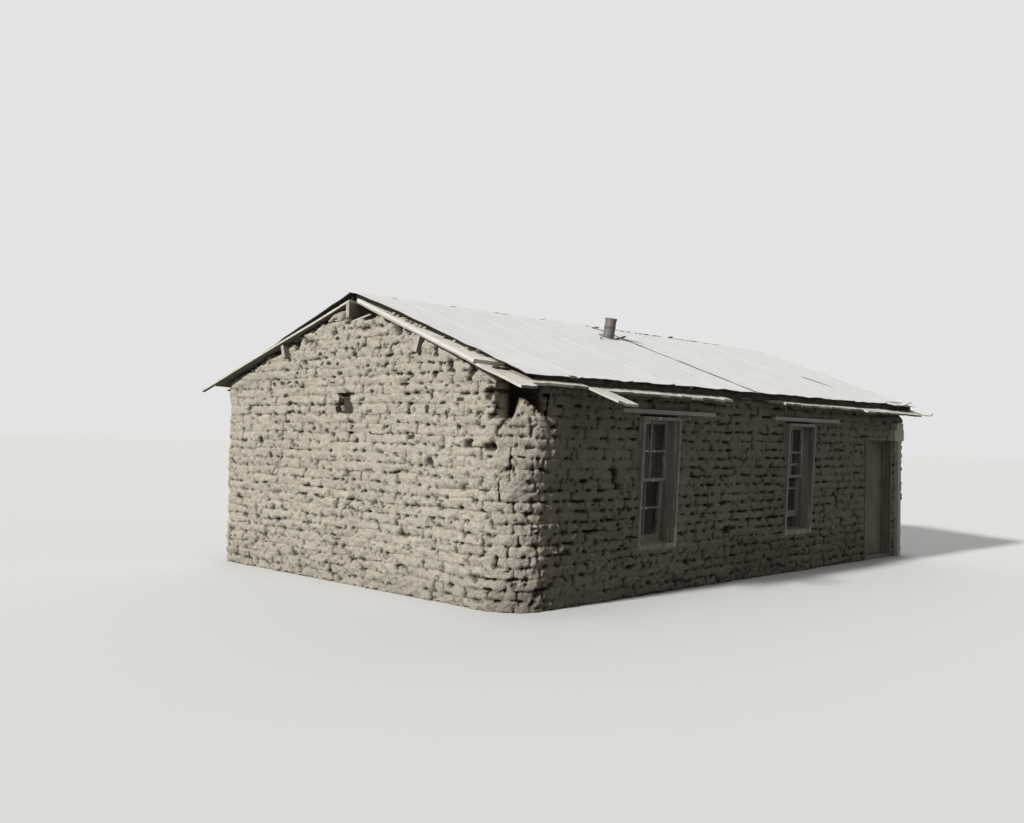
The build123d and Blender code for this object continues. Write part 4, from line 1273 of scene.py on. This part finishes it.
MATERIALS = {
    "sod": sod_material(),
    "roof_earth": earth_material(),
    "roofing": roofing_material(),
    "glass": glass_material(),
    "iron": rust_material("rusty_iron", (0.09, 0.075, 0.065), (0.17, 0.085, 0.045), (0.22, 0.19, 0.17)),
    "pipe": rust_material("weathered_pipe", (0.17, 0.165, 0.16), (0.13, 0.11, 0.095),
                          (0.32, 0.31, 0.30), 0.6, 0.2),
}
for wood, settings in WOODS.items():
    MATERIALS[wood] = wood_material(*settings, paint=PAINTS.get(wood), painted_side_shade=PAINTED_SIDE_SHADES.get(wood))

# Finish and softened edges of the CAD nodes that stay, by the end of their names
FINISHES = {
    "ridge_beam": ("timber", 0.004), "purlins": ("timber", 0.004), "wall_plates": ("timber", 0.003),
    "front_rake_plank": ("rake", 0.002), "window_frame": ("frame", 0.0015), "sash": ("paint", 0.001),
    "glass": ("glass", 0.0), "lintel_planks": ("plank", 0.003), "door_frame": ("door", 0.002),
    "door_leaf": ("door", 0.0012), "door_post": ("post", 0.003), "post_blocks": ("post", 0.004),
    "door_straps": ("iron", 0.0006), "door_pintles": ("iron", 0.0), "door_handle": ("iron", 0.0),
    "stovepipe": ("pipe", 0.0),
}


def finish_nodes():
    for name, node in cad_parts.items():
        for ending, (material, width) in FINISHES.items():
            if name.endswith(ending):
                for slot in node.material_slots:
                    slot.link = "OBJECT"
                    slot.material = MATERIALS[material]
                if width:
                    soften(node, width)


gable("front_gable_sods", "front_gable_wall", on_front, (0, on_right(FRONT_IN)), starts[1:5],
      2.1, SOD_STEP, True)
long_side("right_wall_sods", "right_wall", "right", on_right,
          (on_right(FRONT_IN), on_right(over_low.y)), boards_under(RIGHT, SIDE), SOD_STEP)
over_door()
gable("back_gable_sods", "back_gable_wall", on_back, (on_right(BACK_IN), on_left(BACK_IN)),
      starts[5:9], SIDE - BACK_ROUND, FAR_STEP, False)
long_side("left_wall_sods", "left_wall", "left", on_left, (on_left(BACK_IN), ALL_ROUND),
          boards_under(LEFT, SIDE), FAR_STEP)
roof_boards(RIGHT, "right_boards", ["right_roof_boards", "pipe_roof_boards"])
roof_boards(LEFT, "left_boards", ["left_roof_boards"])
earth_layer(RIGHT, "right_earth", ["right_earth_layer", "pipe_earth_layer"])
earth_layer(LEFT, "left_earth", ["left_earth_layer"])
roofing_widths(RIGHT, "right_felt", ["right_roofing", "pipe_roofing"])
roofing_widths(LEFT, "left_felt", ["left_roofing"])
roof_crumbs()
loose_sticks()
pipe_rim()
floor_planks()
finish_nodes()

# Camera, at the photograph's place and angle
PHOTO = {"width": 1024, "height": 823, "focal": 1012.924, "centre_x": 507.0, "centre_y": 411.0}
CAMERA = {"place": (9.208, -11.045, 1.670), "yaw": 44.689, "pitch": 1.471, "roll": 1.209}


def make_camera():
    yaw, pitch, roll = (math.radians(CAMERA[k]) for k in ("yaw", "pitch", "roll"))
    level = Vector((-math.sin(yaw), math.cos(yaw), 0)) * math.cos(pitch)
    ahead = level + Vector((0, 0, math.sin(pitch)))
    right = ahead.cross(Vector((0, 0, 1))).normalized()
    up = right.cross(ahead)
    turned_right = math.cos(roll) * right + math.sin(roll) * up
    turned_up = math.cos(roll) * up - math.sin(roll) * right
    data = bpy.data.cameras.new("camera")
    data.sensor_width = 36.0
    data.lens = PHOTO["focal"] / PHOTO["width"] * data.sensor_width
    data.shift_x = (PHOTO["width"] / 2 - PHOTO["centre_x"]) / PHOTO["width"]
    data.shift_y = (PHOTO["centre_y"] - PHOTO["height"] / 2) / PHOTO["width"]
    data.clip_end = 400
    camera = new_object("camera", data)
    turn = Matrix((turned_right, turned_up, -ahead)).transposed().to_4x4()
    camera.matrix_world = Matrix.Translation(CAMERA["place"]) @ turn
    bpy.context.scene.camera = camera


def make_lamp(name, energy, angle, aim=None):
    """Distant lamp of a given width in degrees, straight down unless it is aimed."""
    data = bpy.data.lights.new(name, "SUN")
    data.energy = energy
    data.angle = math.radians(angle)
    lamp = new_object(name, data)
    if aim:
        lamp.rotation_mode = "QUATERNION"
        lamp.rotation_quaternion = Vector(aim).to_track_quat("-Z", "Y")


def make_sky():
    """A plain sky, brighter to the eye than to the house."""
    world = bpy.data.worlds.new("pale_sky")
    bpy.context.scene.world = world
    sky = Nodes(world)
    background = sky.tree.nodes["Background"].inputs
    background["Color"].default_value = (1.0, 1.0, 1.0, 1.0)
    paths = sky.node("LightPath").outputs
    seen = sky.maths("MAXIMUM", paths["Is Camera Ray"], paths["Is Glossy Ray"])
    seen = sky.maths("MAXIMUM", seen, paths["Is Transmission Ray"])
    sky.put(background["Strength"], sky.span(seen, 0, 1, 0.19, 0.77))


def make_floor():
    reach = 150.0
    corners = [(-reach, -reach, 0), (reach, -reach, 0), (reach, reach, 0), (-reach, reach, 0)]
    mesh = bpy.data.meshes.new("floor_stage")
    mesh.from_pydata(corners, [], [(0, 1, 2, 3)])
    floor = new_object("floor_stage", mesh)
    m = Shader("pale_floor")
    seen = m.node("LightPath").outputs["Is Camera Ray"]
    m.put(m.surface["Base Color"], m.mix(seen, (0.14, 0.136, 0.13), (0.68, 0.675, 0.66)))
    m.put(m.surface["Roughness"], 0.95)
    m.put(m.surface["Specular IOR Level"], 0.1)
    mesh.materials.append(m.material)


make_camera()
make_lamp("sun", 3.9, 5, (0.05, 0.87, -0.48))
make_lamp("sky_fill", 0.48, 25)
make_lamp("back_fill", 0.8, 60, (0.55, -0.65, -0.5))
make_sky()
make_floor()

bpy.context.scene.view_settings.view_transform = "Standard"
